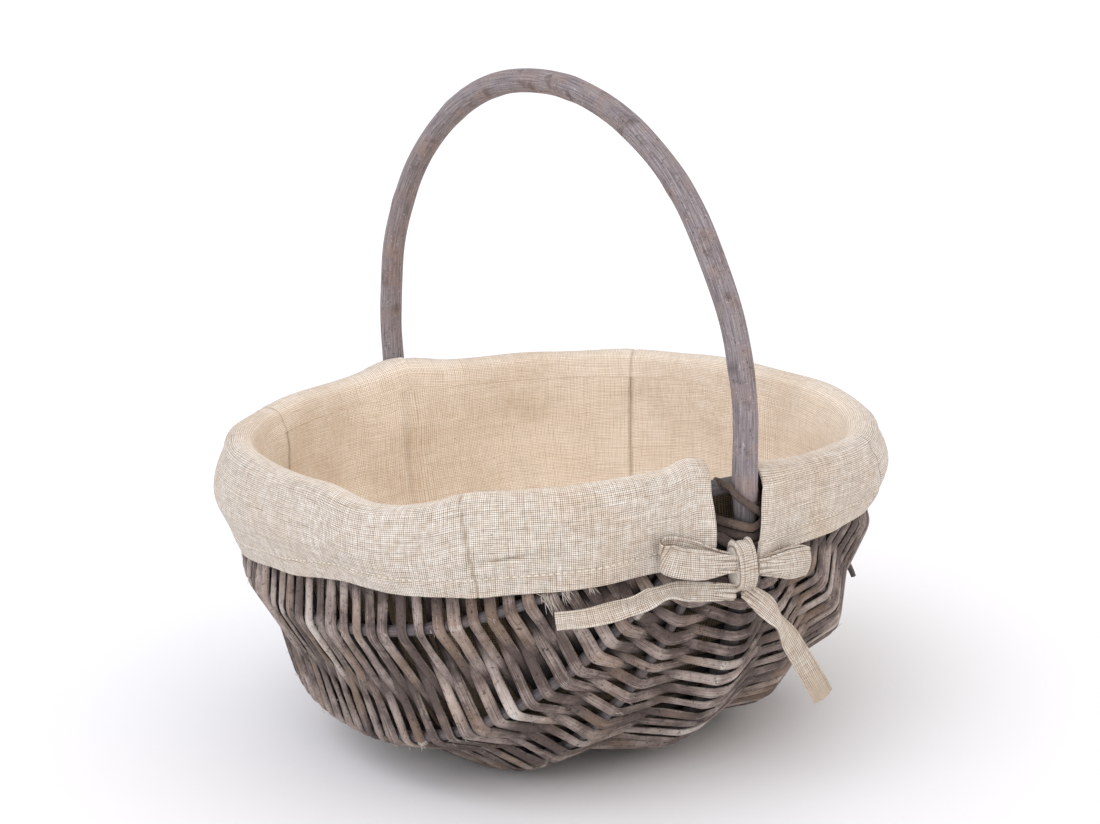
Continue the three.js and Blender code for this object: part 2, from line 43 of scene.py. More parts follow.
# Camera: to the left of the near ear and a little above the rim, as the photograph was taken.
# The picture is 1100 pixels wide and its focal length comes to about 2200 pixels.
CAMERA_AZIMUTH = -34.25
CAMERA_ELEVATION = 13.67
CAMERA_ROLL = -0.0358
CAMERA_DISTANCE = 1.3828
CAMERA_TARGET = Vector((0.0, 0.0002, 0.2002))
SENSOR_WIDTH = 36
FOCAL_PIXELS = 2200
PICTURE_PIXELS = 1100


def direction(azimuth, elevation):
    """The way out from the basket at an azimuth from the near ear and an elevation, in degrees."""
    a, e = math.radians(azimuth), math.radians(elevation)
    return Vector((math.sin(a) * math.cos(e), -math.cos(a) * math.cos(e), math.sin(e)))


back = direction(CAMERA_AZIMUTH, CAMERA_ELEVATION)
camera_data = bpy.data.cameras.new("camera")
camera_data.sensor_fit = "HORIZONTAL"
camera_data.sensor_width = SENSOR_WIDTH
camera_data.lens = SENSOR_WIDTH * FOCAL_PIXELS / PICTURE_PIXELS
camera_data.clip_end = 100
camera = bpy.data.objects.new("camera", camera_data)
camera.matrix_world = (Matrix.Translation(CAMERA_TARGET + back * CAMERA_DISTANCE)
                       @ back.to_track_quat("Z", "Y").to_matrix().to_4x4()
                       @ Matrix.Rotation(CAMERA_ROLL, 4, "Z"))
scene.collection.objects.link(camera)
scene.camera = camera
scene.view_settings.view_transform = "Standard"


# Floor and light: a white sweep of paper under soft lamps, with no hard shadow.
# The paper is matt, so that only the soft shadow under the basket shows on it.
PAPER_REACH = 20000
PAPER_DROP = 0.0003
# Each lamp: its azimuth, its elevation, its strength, how soft it is in degrees, and its tint.
LAMPS = (
    ("key_lamp", -68, 48, 0.99, 50, "#f1f4ff"),
    ("fill_lamp", 20, 32, 0.36, 60, "#ffe4c4"),
)


def linear(hex_colour):
    """An sRGB hex colour as linear red, green, blue and full cover."""
    parts = [int(hex_colour[i:i + 2], 16) / 255 for i in (1, 3, 5)]
    return tuple(p / 12.92 if p <= 0.04045 else ((p + 0.055) / 1.055) ** 2.4 for p in parts) + (1.0,)


def add_node(tree, kind, inputs=None, **settings):
    """Adds a shader node; an input is a value, a hex colour, or a socket that it is linked to."""
    made = tree.nodes.new("ShaderNode" + kind)
    for key, value in settings.items():
        setattr(made, key, value)
    for key, value in (inputs or {}).items():
        if isinstance(value, bpy.types.NodeSocket):
            tree.links.new(value, made.inputs[key])
        else:
            made.inputs[key].default_value = linear(value) if isinstance(value, str) else value
    return made


def new_material(name):
    """A material that uses nodes, and its empty tree."""
    made = bpy.data.materials.new(name)
    made.use_nodes = True
    made.node_tree.nodes.clear()
    return made, made.node_tree


def add_shader(tree, inputs):
    """The material's shader with its inputs, joined to the output."""
    shader = add_node(tree, "BsdfPrincipled", inputs)
    add_node(tree, "OutputMaterial", {"Surface": shader.outputs["BSDF"]})


def add_mesh(name, points, faces, material):
    """An object in the scene from points in millimetres and faces."""
    mesh = bpy.data.meshes.new(name)
    mesh.from_pydata((np.asarray(points) * MM).tolist(), [], faces)
    mesh.materials.append(material)
    made = bpy.data.objects.new(name, mesh)
    scene.collection.objects.link(made)
    return made


world = bpy.data.worlds.new("studio_air")
world.use_nodes = True
air = world.node_tree
air.nodes.clear()
seen = add_node(air, "Background", {"Color": "#ffffff", "Strength": 1.0})
lit = add_node(air, "Background", {"Color": "#fdfcff", "Strength": 0.94})
rays = add_node(air, "LightPath")
shown = add_node(air, "MixShader", {
    0: rays.outputs["Is Camera Ray"], 1: lit.outputs[0], 2: seen.outputs[0]})
add_node(air, "OutputWorld", {"Surface": shown.outputs[0]})
scene.world = world

for lamp_name, azimuth, elevation, power, spread, tint in LAMPS:
    lamp_data = bpy.data.lights.new(lamp_name, "SUN")
    lamp_data.energy = power
    lamp_data.color = linear(tint)[:3]
    lamp_data.angle = math.radians(spread)
    lamp = bpy.data.objects.new(lamp_name, lamp_data)
    lamp.rotation_euler = direction(azimuth, elevation).to_track_quat("Z", "Y").to_euler()
    scene.collection.objects.link(lamp)

paper, tree = new_material("matt_white_paper")
add_shader(tree, {"Base Color": "#f7f7f7", "Roughness": 0.95, "Specular IOR Level": 0.1})
paper_corners = [(x * PAPER_REACH, y * PAPER_REACH, 0) for x, y in ((-1, -1), (1, -1), (1, 1), (-1, 1))]
floor = add_mesh("floor", paper_corners, [(0, 1, 2, 3)], paper)
floor.location.z = -PAPER_DROP


# Hoops: the rim and the handle are whole willow rods bent to rings, the handle going on as the keel.
# Both are weathered grey-mauve rods with the bark on, with knots and worn, paler patches.
RIM_HALF_X = 190
RIM_HALF_Y = 178
RIM_Z = 190
RIM_RADIUS = 5
RIM_SAG = 4.5
RIM_POWER = 2.35
# How far the rim stands above its plain shape, at shares of a turn from the near ear.
RIM_DIPS = (
    (0.0, 0), (0.03, -3), (0.074, -6), (0.115, -7), (0.17, -3.5), (0.23, 0), (0.3, 0.5), (0.36, 0),
    (0.44, -1.6), (0.5, 0), (0.56, -1.2), (0.616, -1.6), (0.7, 0), (0.78, 0.8), (0.81, -4.5),
    (0.845, -3.2), (0.88, 0.5), (0.94, 1))
HANDLE_RADIUS = 7.5
ROD_GAP = 0.3
HANDLE_HALF_Y = RIM_HALF_Y + RIM_RADIUS + HANDLE_RADIUS + ROD_GAP
HANDLE_WIDEST_Z = RIM_Z + 32
HANDLE_SWELL = 1.7
HANDLE_RISE = 185
HANDLE_POWER = 2.05
# Each knot of the handle: how far it is from the near ear, the way it faces, and its height.
HANDLE_KNOTS = (
    (52, 3.2, 0.4), (131, 5.4, 0.3), (226, 0.4, 0.45), (281, 4.1, 0.3),
    (362, 2.6, 0.5), (429, 5.8, 0.3), (477, 3.5, 0.35), (590, 4.9, 0.45))
KEEL_RADIUS = 5.5
KEEL_TAPER = 30
KEEL_Z = 8.414
KEEL_POWER = 2.35
KEEL_PRESS = 13
PRESS_BLEND = 16
TURN = 2 * np.pi
UP = np.array([0.0, 0.0, 1.0])
half_turn = np.linspace(0, np.pi, 361)


def squircle(turn, power):
    """Squared-off circle: the share of the half width and of the half length at a turn."""
    s, c = np.sin(turn), np.cos(turn)
    return np.sign(s) * np.abs(s) ** (2 / power), np.sign(c) * np.abs(c) ** (2 / power)


def pressed(share, low, press):
    """The height of a rib that is pressed flat where it would go under its lowest height."""
    over = RIM_Z - (RIM_Z - low + press) * share - low
    eased = (np.clip(over, -PRESS_BLEND, PRESS_BLEND) + PRESS_BLEND) ** 2 / (4 * PRESS_BLEND)
    return low + eased + np.maximum(over - PRESS_BLEND, 0)


def unit(vectors):
    return vectors / np.maximum(np.linalg.norm(vectors, axis=-1, keepdims=True), 1e-12)


def dot(a, b):
    return np.sum(a * b, -1, keepdims=True)


def legs(points, axis=0):
    """The distance from each point to the next."""
    return np.linalg.norm(np.diff(points, axis=axis), axis=-1)


def bell(gap, wide):
    """A smooth hump that is 1 where there is no gap."""
    return np.exp(-(gap / wide) ** 2)


def capped(value):
    return np.clip(value, 0, 1)


def columns(*parts):
    """Points from their x, y and z."""
    return np.stack(np.broadcast_arrays(*parts), -1)


def walk(points):
    """A line of points in millimetres, with the distance walked to each."""
    walked = np.append(0, np.cumsum(legs(points)))
    return {"points": points, "walked": walked, "length": walked[-1]}


def interpolated(at, keys, values):
    """Values, or rows of them, carried over from the keys to the places at."""
    return np.stack([np.interp(at, keys, v) for v in np.reshape(values, (len(values), -1)).T], -1)


def place(line, distance):
    return interpolated(distance, line["walked"], line["points"])


def heading(line, distance):
    return unit(place(line, distance + 1.5) - place(line, distance - 1.5))


def wander(luck, distance, period):
    """A slow random wave between about -1 and 1, the same on each run."""
    waves = [share * np.sin(TURN * distance / (period * share) + luck.uniform(0, TURN))
             for share in (1.0, 0.61, 0.37)]
    return sum(waves) / 1.4


def hermite(h, start, stop, leave, arrive):
    """A smooth step from start to stop at a share h, with the slopes that it leaves and arrives with."""
    return ((2 * h ** 3 - 3 * h ** 2 + 1) * start + (h ** 3 - 2 * h ** 2 + h) * leave
            + (3 * h ** 2 - 2 * h ** 3) * stop + (h ** 3 - h ** 2) * arrive)


def smooth_round(turn, table):
    """A smooth value round the basket from a table of (share of a turn from the near ear, value)."""
    at, value = np.array(table, float).T
    at = np.concatenate([at - 1, at, at + 1])
    value = np.tile(value, 3)
    share = np.asarray(turn) / TURN
    i = np.clip(np.searchsorted(at, share, side="right") - 1, 1, len(at) - 3)
    step = at[i + 1] - at[i]
    leave = (value[i + 1] - value[i - 1]) / (at[i + 1] - at[i - 1]) * step
    arrive = (value[i + 2] - value[i]) / (at[i + 2] - at[i]) * step
    return hermite((share - at[i]) / step, value[i], value[i + 1], leave, arrive)


def add_run(made, uv):
    """Lays the piece's UV, in metres along it and across it."""
    made.data.uv_layers.new(name="run").data.foreach_set("uv", uv.ravel())
    made.data.shade_smooth()


def skin(name, rings, along, around, material, closed=False, values=None):
    """A closed smooth mesh over rings of points, with its real lengths as UV and values at its points."""
    count, sides = rings.shape[:2]
    i, j = np.meshgrid(np.arange(count if closed else count - 1), np.arange(sides), indexing="ij")
    i2, j2 = (i + 1) % count, (j + 1) % sides
    quads = np.stack([i * sides + j, i * sides + j2, i2 * sides + j2, i2 * sides + j], -1).reshape(-1, 4)
    along = np.broadcast_to(np.reshape(along, (len(along), -1)), (len(along), sides + 1))
    around = np.broadcast_to(around, (count, sides + 1))
    u, v = (np.stack([run[i, j], run[i, j + 1], run[after, j + 1], run[after, j]], -1).reshape(-1, 4)
            for run, after in ((along, i + 1), (around, i2)))
    if not closed:
        a = np.arange(sides // 2 - 1)
        cap = np.stack([a, sides - 1 - a, sides - 2 - a, a + 1], -1)
        quads = np.concatenate([quads, cap, cap[:, ::-1] + (count - 1) * sides])
        u = np.concatenate([u, along[0, cap], along[-1, cap]])
        v = np.concatenate([v, around[0, cap], around[-1, cap]])
    points = rings.reshape(-1, 3)
    a, b, c, d = points[quads].transpose(1, 0, 2)
    if np.sum(a * (np.cross(b, c) + np.cross(c, d))) < 0:
        quads, u, v = quads[:, ::-1], u[:, ::-1], v[:, ::-1]
    made = add_mesh(name, points, quads.tolist(), material)
    add_run(made, np.stack([u, v], -1) * MM)
    for key, value in (values or {}).items():
        layer = made.data.attributes.new(key, "FLOAT", "POINT")
        layer.data.foreach_set("value", np.broadcast_to(value, (count, sides)).astype(float).ravel())
    return made


def add_piece(made, slot, *nodes):
    """The piece rides with the basket and stands for its CAD nodes, which it hides; slot is not used."""
    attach(made, "root")
    if nodes:
        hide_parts(*nodes)


def rod(name, points, sideways, radius, knots, closed=False, sides=22, painted_shade=0.0):
    """A willow rod that swells at its knots and isn't quite round; its last argument sets how much painted
    shade darkens it, where it lies between and under the strips.
    """
    walked = walk(np.concatenate([points, points[:1]]) if closed else points)["walked"]
    ahead = np.roll(points, -1, 0) - np.roll(points, 1, 0) if closed else np.gradient(points, axis=0)
    outward = unit(np.cross(ahead, sideways))
    across = unit(np.cross(outward, ahead))
    turn = np.arange(sides) / sides * TURN
    at = walked[:len(points), None]
    reach = radius[:, None] * (1 + 0.025 * np.sin(3 * turn + 2 * np.sin(at / 60)))
    knot = 0 * reach
    for where, facing, size in knots:
        lobe = bell(at - where, 5.5) * bell(np.angle(np.exp(1j * (turn - facing))), 0.75)
        knot += lobe
        reach += size * (lobe + 0.45 * bell(at - where, 9))
    rings = points[:, None] + reach[..., None] * (
        np.cos(turn)[:, None] * outward[:, None] + np.sin(turn)[:, None] * across[:, None])
    around = np.arange(sides + 1) / sides * TURN * radius.mean()
    painted_shade = np.broadcast_to(painted_shade, (len(points),))[:, None]
    return skin(name, rings, walked, around, bark, closed, {"knot": np.minimum(knot, 1), "painted_shade": painted_shade})


def run_map(tree, scale):
    """The piece's own run as a pattern place; the scale is in patches to the metre."""
    run = add_node(tree, "UVMap", uv_map="run")
    return add_node(tree, "Mapping", {"Vector": run.outputs[0], "Scale": scale}).outputs[0]


def object_place(tree):
    return add_node(tree, "TexCoord").outputs["Object"]


def attribute(tree, name):
    return add_node(tree, "Attribute", attribute_name=name).outputs["Fac"]


def noise(tree, vector, scale, detail, roughness):
    return add_node(tree, "TexNoise", {
        "Vector": vector, "Scale": scale, "Detail": detail, "Roughness": roughness}).outputs["Fac"]


def maths(tree, operation, *values):
    return add_node(tree, "Math", dict(enumerate(values)), operation=operation).outputs[0]


def ranged(tree, value, low, high, least=0.0, most=1.0):
    """The value's range from low to high turned into one from least to most."""
    return add_node(tree, "MapRange", {
        "Value": value, "From Min": low, "From Max": high, "To Min": least, "To Max": most}).outputs[0]


def mixed(tree, share, under, over):
    return add_node(tree, "Mix", {"Factor": share, 6: under, 7: over}, data_type="RGBA").outputs[2]


def layered(tree, colour, layers):
    """Colours laid on one another, each by a value, the range it sets in over, and its cover."""
    for value, low, high, cover, over in layers:
        colour = mixed(tree, ranged(tree, value, low, high, 0, cover), colour, over)
    return colour


def ramp(tree, value, stops):
    """A run of colours over the value."""
    made = add_node(tree, "ValToRGB", {"Fac": value})
    elements = made.color_ramp.elements
    for stop, colour in stops:
        elements.new(stop).color = linear(colour)
    elements.remove(elements[0])
    elements.remove(elements[-1])
    return made.outputs["Color"]


def relief(tree, height, strength, distance):
    return add_node(tree, "Bump", {
        "Height": height, "Strength": strength, "Distance": distance}).outputs[0]


# Weathered willow bark: matt grey-mauve, with streaks about 20 mm long and under 1 mm wide along
# the rod, dark pits of 2 mm, tan worn patches of 20 mm and darker ones of 10 mm.
bark, tree = new_material("weathered_willow_bark")
spot = object_place(tree)
streak = noise(tree, run_map(tree, (45, 1500, 1)), 1, 5, 0.6)
grit = noise(tree, spot, 520, 3, 0.7)
colour = ramp(tree, streak, ((0.3, "#5b5356"), (0.46, "#80777a"), (0.6, "#9a9192"), (0.75, "#b3abab")))
colour = layered(tree, colour, (
    (noise(tree, spot, 55, 4, 0.55), 0.46, 0.74, 0.62, "#9c8273"),
    (noise(tree, spot, 90, 5, 0.65), 0.56, 0.7, 0.75, "#5f4e47"),
    (grit, 0.62, 0.74, 1, "#c3bbb4"),
    (grit, 0.4, 0.28, 1, "#3b3335"),
    (attribute(tree, "knot"), 0.45, 0.95, 0.55, "#4a3f3c"),
    # Painted shade: the rods go toward near black where they lie between and under the strips.
    (attribute(tree, "painted_shade"), 0, 1, 1, "#23241f"),
))
add_shader(tree, {
    "Base Color": colour, "Normal": relief(tree, maths(tree, "ADD", streak, grit), 0.55, 0.0006),
    "Roughness": 0.7, "Specular IOR Level": 0.35})


def rim_points(side, turn):
    s, c = squircle(turn, RIM_POWER)
    dip = smooth_round(side * np.asarray(turn), RIM_DIPS)
    return columns(side * RIM_HALF_X * s, -RIM_HALF_Y * c, RIM_Z - RIM_SAG * s * s + dip)


def hoop_radius(z):
    """The rod of the handle is thinner below the rim, where it is the keel."""
    return HANDLE_RADIUS + (KEEL_RADIUS - HANDLE_RADIUS) * capped((RIM_Z - z) / KEEL_TAPER)


luck = np.random.default_rng(11)
rim_ring = rim_points(1, np.linspace(0, TURN, 300, endpoint=False))
rim_knots = [(luck.uniform(0, 1100), luck.uniform(0, 6.28), 0.5) for n in range(7)]
# The rim is painted darker as shade, where it lies under the cuff and the strips.
rim_rod = rod("rim_rod", rim_ring, UP, np.full(300, RIM_RADIUS - 0.2), rim_knots, True, painted_shade=0.55)
add_piece(rim_rod, "willow_rod", "rim_hoop")

keel_s, keel_c = squircle(half_turn, KEEL_POWER)
keel_points = columns(0, -HANDLE_HALF_Y * keel_c, pressed(keel_s, KEEL_Z, KEEL_PRESS))
arch_s, arch_c = squircle(np.linspace(0, np.pi, 181), HANDLE_POWER)
arch_points = columns(0, (HANDLE_HALF_Y + HANDLE_SWELL) * arch_c, HANDLE_WIDEST_Z + HANDLE_RISE * arch_s)
hoop_line = walk(np.concatenate([keel_points, arch_points, keel_points[:1]]))
hoop_steps = np.linspace(0, hoop_line["length"], 420, endpoint=False)
hoop_points = place(hoop_line, hoop_steps)
hoop_points = (np.roll(hoop_points, 1, 0) + 2 * hoop_points + np.roll(hoop_points, -1, 0)) / 4
luck = np.random.default_rng(5)
above_rim = capped((hoop_points[:, 2] - 225) / 40)[:, None]
hoop_points += above_rim * columns(
    0.9 * wander(luck, hoop_steps, 190), 0.5 * wander(luck, hoop_steps, 150), 0)
hoop_radii = (hoop_radius(hoop_points[:, 2]) - 0.15) * (1 + 0.03 * wander(luck, hoop_steps, 230))
hoop_knots = [(walk(keel_points)["length"] + d, facing, size) for d, facing, size in HANDLE_KNOTS]
# Painted shade darkens the handle rod below the rim, where it runs on as the keel under the strips.
hoop_painted_shade = 0.72 * capped((186 - hoop_points[:, 2]) / 12)
handle_rod = rod("handle_rod", hoop_points, (1, 0, 0), hoop_radii, hoop_knots, True, 28, hoop_painted_shade)
add_piece(handle_rod, "willow_rod", "handle_hoop")


# Ribs: three thinner rods a side, from ear to ear, with thin ends pushed in beside the handle.
# They are of the same bark as the hoops and show only between the strips.
RIB_REACH = RIM_HALF_Y + 1
# Each rib: its half width, its lowest height, how far it is pressed flat there, and where it starts.
RIBS = {
    "c": (RIM_HALF_X * 0.479, KEEL_Z - 4.564, 3, 43),
    "b": (RIM_HALF_X * 0.8105, RIM_Z * 0.184, 0, 24),
    "a": (RIM_HALF_X * 0.979, RIM_Z * 0.584, 0, 50),
}
RIB_RADIUS = 3.5
RIB_TIP_RADIUS = 1.6
RIB_TAPER = 90
RIB_POWER = 2.35
RIB_STEPS = 170


def rib_points(side, half_x, low, press, start):
    s, c = squircle(half_turn, RIB_POWER)
    z = pressed(s, low, press) if press else RIM_Z + (low - RIM_Z) * s
    return columns(side * half_x * s, -RIB_REACH * c, z)


def rib_radius(distance, length, start):
    from_end = np.minimum(distance, length - distance) - start
    return RIB_TIP_RADIUS + (RIB_RADIUS - RIB_TIP_RADIUS) * np.sqrt(capped(from_end / RIB_TAPER))


# What the strips are woven on, from the left of the rim, under the basket, to the right of it.
CARRIERS = (("rim", -1), ("a", -1), ("b", -1), ("c", -1), ("keel", 0), ("c", 1), ("b", 1), ("a", 1),
            ("rim", 1))
KEEL_AT = 4
RIM_AT = 8
lines = []
for number, (kind, side) in enumerate(CARRIERS):
    if kind not in RIBS:
        lines.append(walk(rim_points(side, half_turn) if side else keel_points))
        continue
    line = walk(rib_points(side, *RIBS[kind]))
    lines.append(line)
    luck = np.random.default_rng(20 + number)
    start, length = RIBS[kind][-1], line["length"]
    steps = np.linspace(start, length - start, RIB_STEPS)
    centre = place(line, steps)
    sideways = np.cross(unit(centre - RIM_Z * UP), heading(line, steps))
    knots = [(luck.uniform(60, length - 60), luck.uniform(0, 6.28), 0.35) for n in range(4)]
    name = f"{kind}_{'right' if side > 0 else 'left'}"
    # The ribs are painted darker as shade, since they show only in the gaps between the strips.
    made = rod(f"rib_rod_{name}", centre, sideways, rib_radius(steps, length, start) - 0.05, knots,
               sides=14, painted_shade=0.5)
    add_piece(made, "willow_rod", f"rib_{name}")


# Weavers: long strips of split willow, woven over and under the ribs and turned back round the rim.
# They were woven wet, so they keep sharp bends at the ribs, with fibres broken up at the bends.
PASSES = 105
PASSES_EACH = 5
FIRST_ROW = 26
STRIP_THICK = 2.6
STRIP_SIDES = 14
FIT = 0.4
WRAP_STEPS = 4
STEEPEST = 1.35
KEEL_SHIFT = 5.6
RIB_BEND = 4.6
KEEL_BEND = 4.0
RIM_BEND = 9.0


def row_pitch(at):
    return (lines[at]["length"] - 2 * FIRST_ROW) / (PASSES - 1)


def row_at(at, row):
    return FIRST_ROW + row_pitch(at) * row


def row_point(at, row):
    return place(lines[at], row_at(at, row))


def row_side(at, row):
    """1 where the row passes outside the rib, and -1 where it passes inside."""
    return -1 if (row + at) % 2 == 0 else 1


def carrier_radius(at, row):
    kind = CARRIERS[at][0]
    if kind == "rim":
        return RIM_RADIUS
    if kind == "keel":
        return hoop_radius(row_point(at, row)[2])
    return rib_radius(row_at(at, row), lines[at]["length"], RIBS[kind][-1])


def stand_off(at, row):
    """How far a strip stands off a rib, further where it comes steeply from the ribs beside."""
    clear = carrier_radius(at, row) + FIT
    steep = 1
    for beside in (at - 1, at + 1):
        span = np.linalg.norm(row_point(at, row) - row_point(beside, row))
        rise = clear + carrier_radius(beside, row) + FIT + STRIP_THICK
        steep = max(steep, math.hypot(span, rise) / span)
    return clear * min(steep, STEEPEST) + STRIP_THICK / 2


def is_there(at, row):
    start = RIBS.get(CARRIERS[at][0], (0,))[-1]
    return min(row_at(at, row), lines[at]["length"] - row_at(at, row)) > start


def crossing(at, row, shift=0.0):
    """A strip's station at a rib: its middle, the way across it, its outer face, its width, how
    early it bends, that it is woven there, and whether it is outside."""
    side = row_side(at, row)
    ahead = heading(lines[at], row_at(at, row))
    normal = unit(np.cross(ahead, row_point(at + 1, row) - row_point(at - 1, row)))
    lift = stand_off(at, row) - (0.25 if side > 0 else 0.1)
    centre = row_point(at, row) + normal * side * lift + np.cross(ahead, normal) * shift
    face = normal * (1 if row % 2 == 0 else -1)
    return centre, ahead, face, row_pitch(at), KEEL_BEND if shift else RIB_BEND, 1, side > 0


def rim_turn(at, row, parts, advance=0):
    """The same for the strip's turn round the rim, at parts of half a turn from the row's side."""
    side = row_side(at, row)
    reach = (RIM_RADIUS + FIT) / math.cos(math.pi / WRAP_STEPS / 2) + STRIP_THICK / 2
    made = []
    for part in parts:
        lift = math.pi * (part if side > 0 else 1 - part)
        ahead = heading(lines[at], row_at(at, row + advance * part))
        out = unit(np.cross(ahead, UP)) * CARRIERS[at][1] * math.cos(lift) + UP * math.sin(lift)
        centre = row_point(at, row + advance * part) + out * reach
        face = out * (side if row % 2 == 0 else -side)
        made.append((centre, ahead, face, row_pitch(at), RIM_BEND, 0, 0))
    return made


def rounded(points, bends):
    """Samples along the stations with each corner rounded off, and the place of each among them."""
    leg = legs(points)
    made, share = [points[0]], [0.0]
    for i in range(1, len(points) - 1):
        cut = min(bends[i], 0.47 * leg[i - 1], 0.47 * leg[i])
        before = points[i] + (points[i - 1] - points[i]) * cut / leg[i - 1]
        after = points[i] + (points[i + 1] - points[i]) * cut / leg[i]
        start, start_share = made[-1], share[-1]
        count = max(1, int(np.linalg.norm(before - start) / 5))
        for part in np.arange(1, count) / count:
            made.append(start + (before - start) * part)
            share.append(start_share + (i - cut / leg[i - 1] - start_share) * part)
        for b in np.linspace(0, 1, 6):
            made.append((1 - b) ** 2 * before + 2 * b * (1 - b) * points[i] + b ** 2 * after)
            share.append(i - (1 - b) * cut / leg[i - 1] + b * cut / leg[i])
    return np.array(made + [points[-1]]), np.array(share + [len(points) - 1.0])


# Weathered split willow: matt mauve-brown, silver where worn, with painted shade near black on the runs
# inside the ribs and the inner faces, painted light where a strip passes outside a rib, fibre streaks 35 mm
# long and 0.5 mm wide, stains of 15 mm, dents of 5 mm and dark specks of 2 mm.
split, tree = new_material("weathered_split_willow")
spot = object_place(tree)
fibre = noise(tree, run_map(tree, (28, 1900, 1)), 1, 6, 0.62)
stain_and_painted_shade = noise(tree, spot, 70, 5, 0.6)
dents = noise(tree, spot, 190, 3, 0.6)
speck = noise(tree, spot, 480, 4, 0.65)
shade = maths(tree, "ADD", stain_and_painted_shade, maths(tree, "ADD", fibre, attribute(tree, "tone_and_painted_light")))
colour = ramp(tree, ranged(tree, shade, 1.04, 1.9), (
    (0.06, "#62544f"), (0.3, "#9a8a83"), (0.52, "#bbaca4"), (0.74, "#d4c8c0"), (0.97, "#ece5de")))
colour = layered(tree, colour, (
    (attribute(tree, "warm"), 0, 1, 1, "#b5977b"),
    (maths(tree, "MULTIPLY", attribute(tree, "edge"), stain_and_painted_shade), 0.3, 0.6, 0.55, "#cdc2b6"),
    (maths(tree, "MULTIPLY", attribute(tree, "bend"), fibre), 0.42, 0.7, 0.8, "#ded7cd"),
    (speck, 0.43, 0.33, 0.8, "#2a2220"),
    # Painted shade: near black on the runs inside the ribs and the faces turned inward, where the gaps of the
    # weave are in shade.
    (attribute(tree, "painted_inner_shade"), 0, 1, 1, "#15110f"),
))
height = maths(tree, "MULTIPLY_ADD", dents, 1.6, maths(tree, "ADD", fibre, speck))
add_shader(tree, {"Base Color": colour, "Normal": relief(tree, height, 0.95, 0.0011),
                  "Roughness": 0.66, "Specular IOR Level": 0.35})

section_turn = np.arange(STRIP_SIDES) / STRIP_SIDES * TURN
section_x = squircle(section_turn, 2.7)[1] / 2
section_y = np.sin(section_turn) / 2
at_edge = np.abs(np.cos(section_turn)) ** 3


def section_rings(points, side, face, width, thick):
    """The rounded section of a strip, laid across each of its points."""
    side, face = (np.broadcast_to(way, points.shape)[:, None] for way in (side, face))
    return points[:, None] + side * (width * section_x)[..., None] + face * (thick * section_y)[..., None]


def strip(name, points, across, face, width, thick, values):
    """A strip with rounded edges along sampled points; the face is its flat side."""
    ahead = unit(np.gradient(points, axis=0))
    face = unit(face - ahead * dot(face, ahead))
    side = np.cross(face, ahead)
    side = side * np.sign(dot(side, across))
    rings = section_rings(points, side, face, width, thick)
    rings[..., 2] = np.maximum(rings[..., 2], 0.05)
    around = np.append(section_turn, TURN) * np.mean(width) / 2
    return skin(name, rings, walk(points)["walked"], around, split, False, {"edge": at_edge, **values})


def spread(share, values):
    """Values of the stations as columns over the samples between them."""
    return interpolated(share, np.arange(len(values)), values)


def sway(period):
    """The next slow random wave along the strip in hand."""
    return wander(luck, walked, period)


luck = np.random.default_rng(3)
basket_heart = (0, 0, 120)
bends_out = []
for weaver in range(PASSES // PASSES_EACH):
    stations, tones = [], []
    for row in range(weaver * PASSES_EACH, (weaver + 1) * PASSES_EACH):
        first, last, step = (0, RIM_AT, 1) if row % 2 == 0 else (RIM_AT, 0, -1)
        row_start = len(stations)
        if row % PASSES_EACH == 0:
            stations += rim_turn(first, row, (1 / WRAP_STEPS, 0))
        for at in range(first + step, last, step):
            if is_there(at, row):
                shifts = (step * KEEL_SHIFT, -step * KEEL_SHIFT) if at == KEEL_AT else (0,)
                stations += [crossing(at, row, shift) for shift in shifts]
                if row_side(at, row) > 0:
                    bends_out.append(stations[-1])
        if (row + 1) % PASSES_EACH == 0:
            stations += rim_turn(last, row, (0, 1 / WRAP_STEPS))
        else:
            stations += rim_turn(last, row, np.arange(WRAP_STEPS + 1) / WRAP_STEPS, 1)
        tones += [luck.normal(0, 0.11)] * (len(stations) - row_start)
    middles, ways, faces, pitches, bends, woven, outside = (np.array(v, float) for v in zip(*stations))
    points, share = rounded(middles, bends)
    count = len(stations)
    walked = walk(points)["walked"][:, None]
    across, face = spread(share, ways), spread(share, faces)
    free, over = spread(share, woven), spread(share, outside)
    twist = spread(share, luck.normal(0, 0.16, count)) + 0.13 * sway(55)
    twist *= free
    turned = face * np.cos(twist) + np.cross(unit(np.gradient(points, axis=0)), face) * np.sin(twist)
    drift = spread(share, luck.normal(0, 0.65, count) * woven)
    points += unit(across) * (drift + 0.35 * sway(85) * free)
    outward = unit(face) * np.sign(dot(face, points - basket_heart))
    points += outward * (0.3 * over)
    width = spread(share, pitches) * (1.05 + 0.05 * sway(210))
    width *= spread(share, 1 + luck.normal(0, 0.08, count) * woven) * (1 + 0.22 * over)
    thick = STRIP_THICK * (0.98 + 0.07 * sway(170) + 0.2 * over)
    # The runs inside the ribs and the faces turned in are painted dark as shade.
    inside = 0.96 * capped((0.55 - over) / 0.4) * free
    facing_in = capped(-np.sin(section_turn) * np.sign(dot(turned, outward)))
    nearest = np.round(share).astype(int)
    bend_gap = np.abs(share - nearest) * np.append(legs(middles), 1.0)[share.astype(int)]
    bend_force = np.clip(luck.normal(0.35, 0.6, count), 0, 1.3) * woven
    # The strip's own random tone, raised as painted light where the strip passes outside a rib.
    tone_and_painted_light = 0.07 + 0.17 * over + spread(share, tones) + 0.1 * sway(110)
    warm = np.clip(0.5 * sway(130) - 0.18, 0, 0.28)
    made = strip(f"woven_strip_{weaver + 1:02d}", points, across, turned, width, thick, {
        "tone_and_painted_light": tone_and_painted_light, "bend": (bell(bend_gap, 3.2) * bend_force[nearest])[:, None], "warm": warm,
        "painted_inner_shade": np.maximum(inside, 0.85 * facing_in ** 0.7)})
    add_piece(made, "willow", f"weaver_{weaver + 1:02d}")


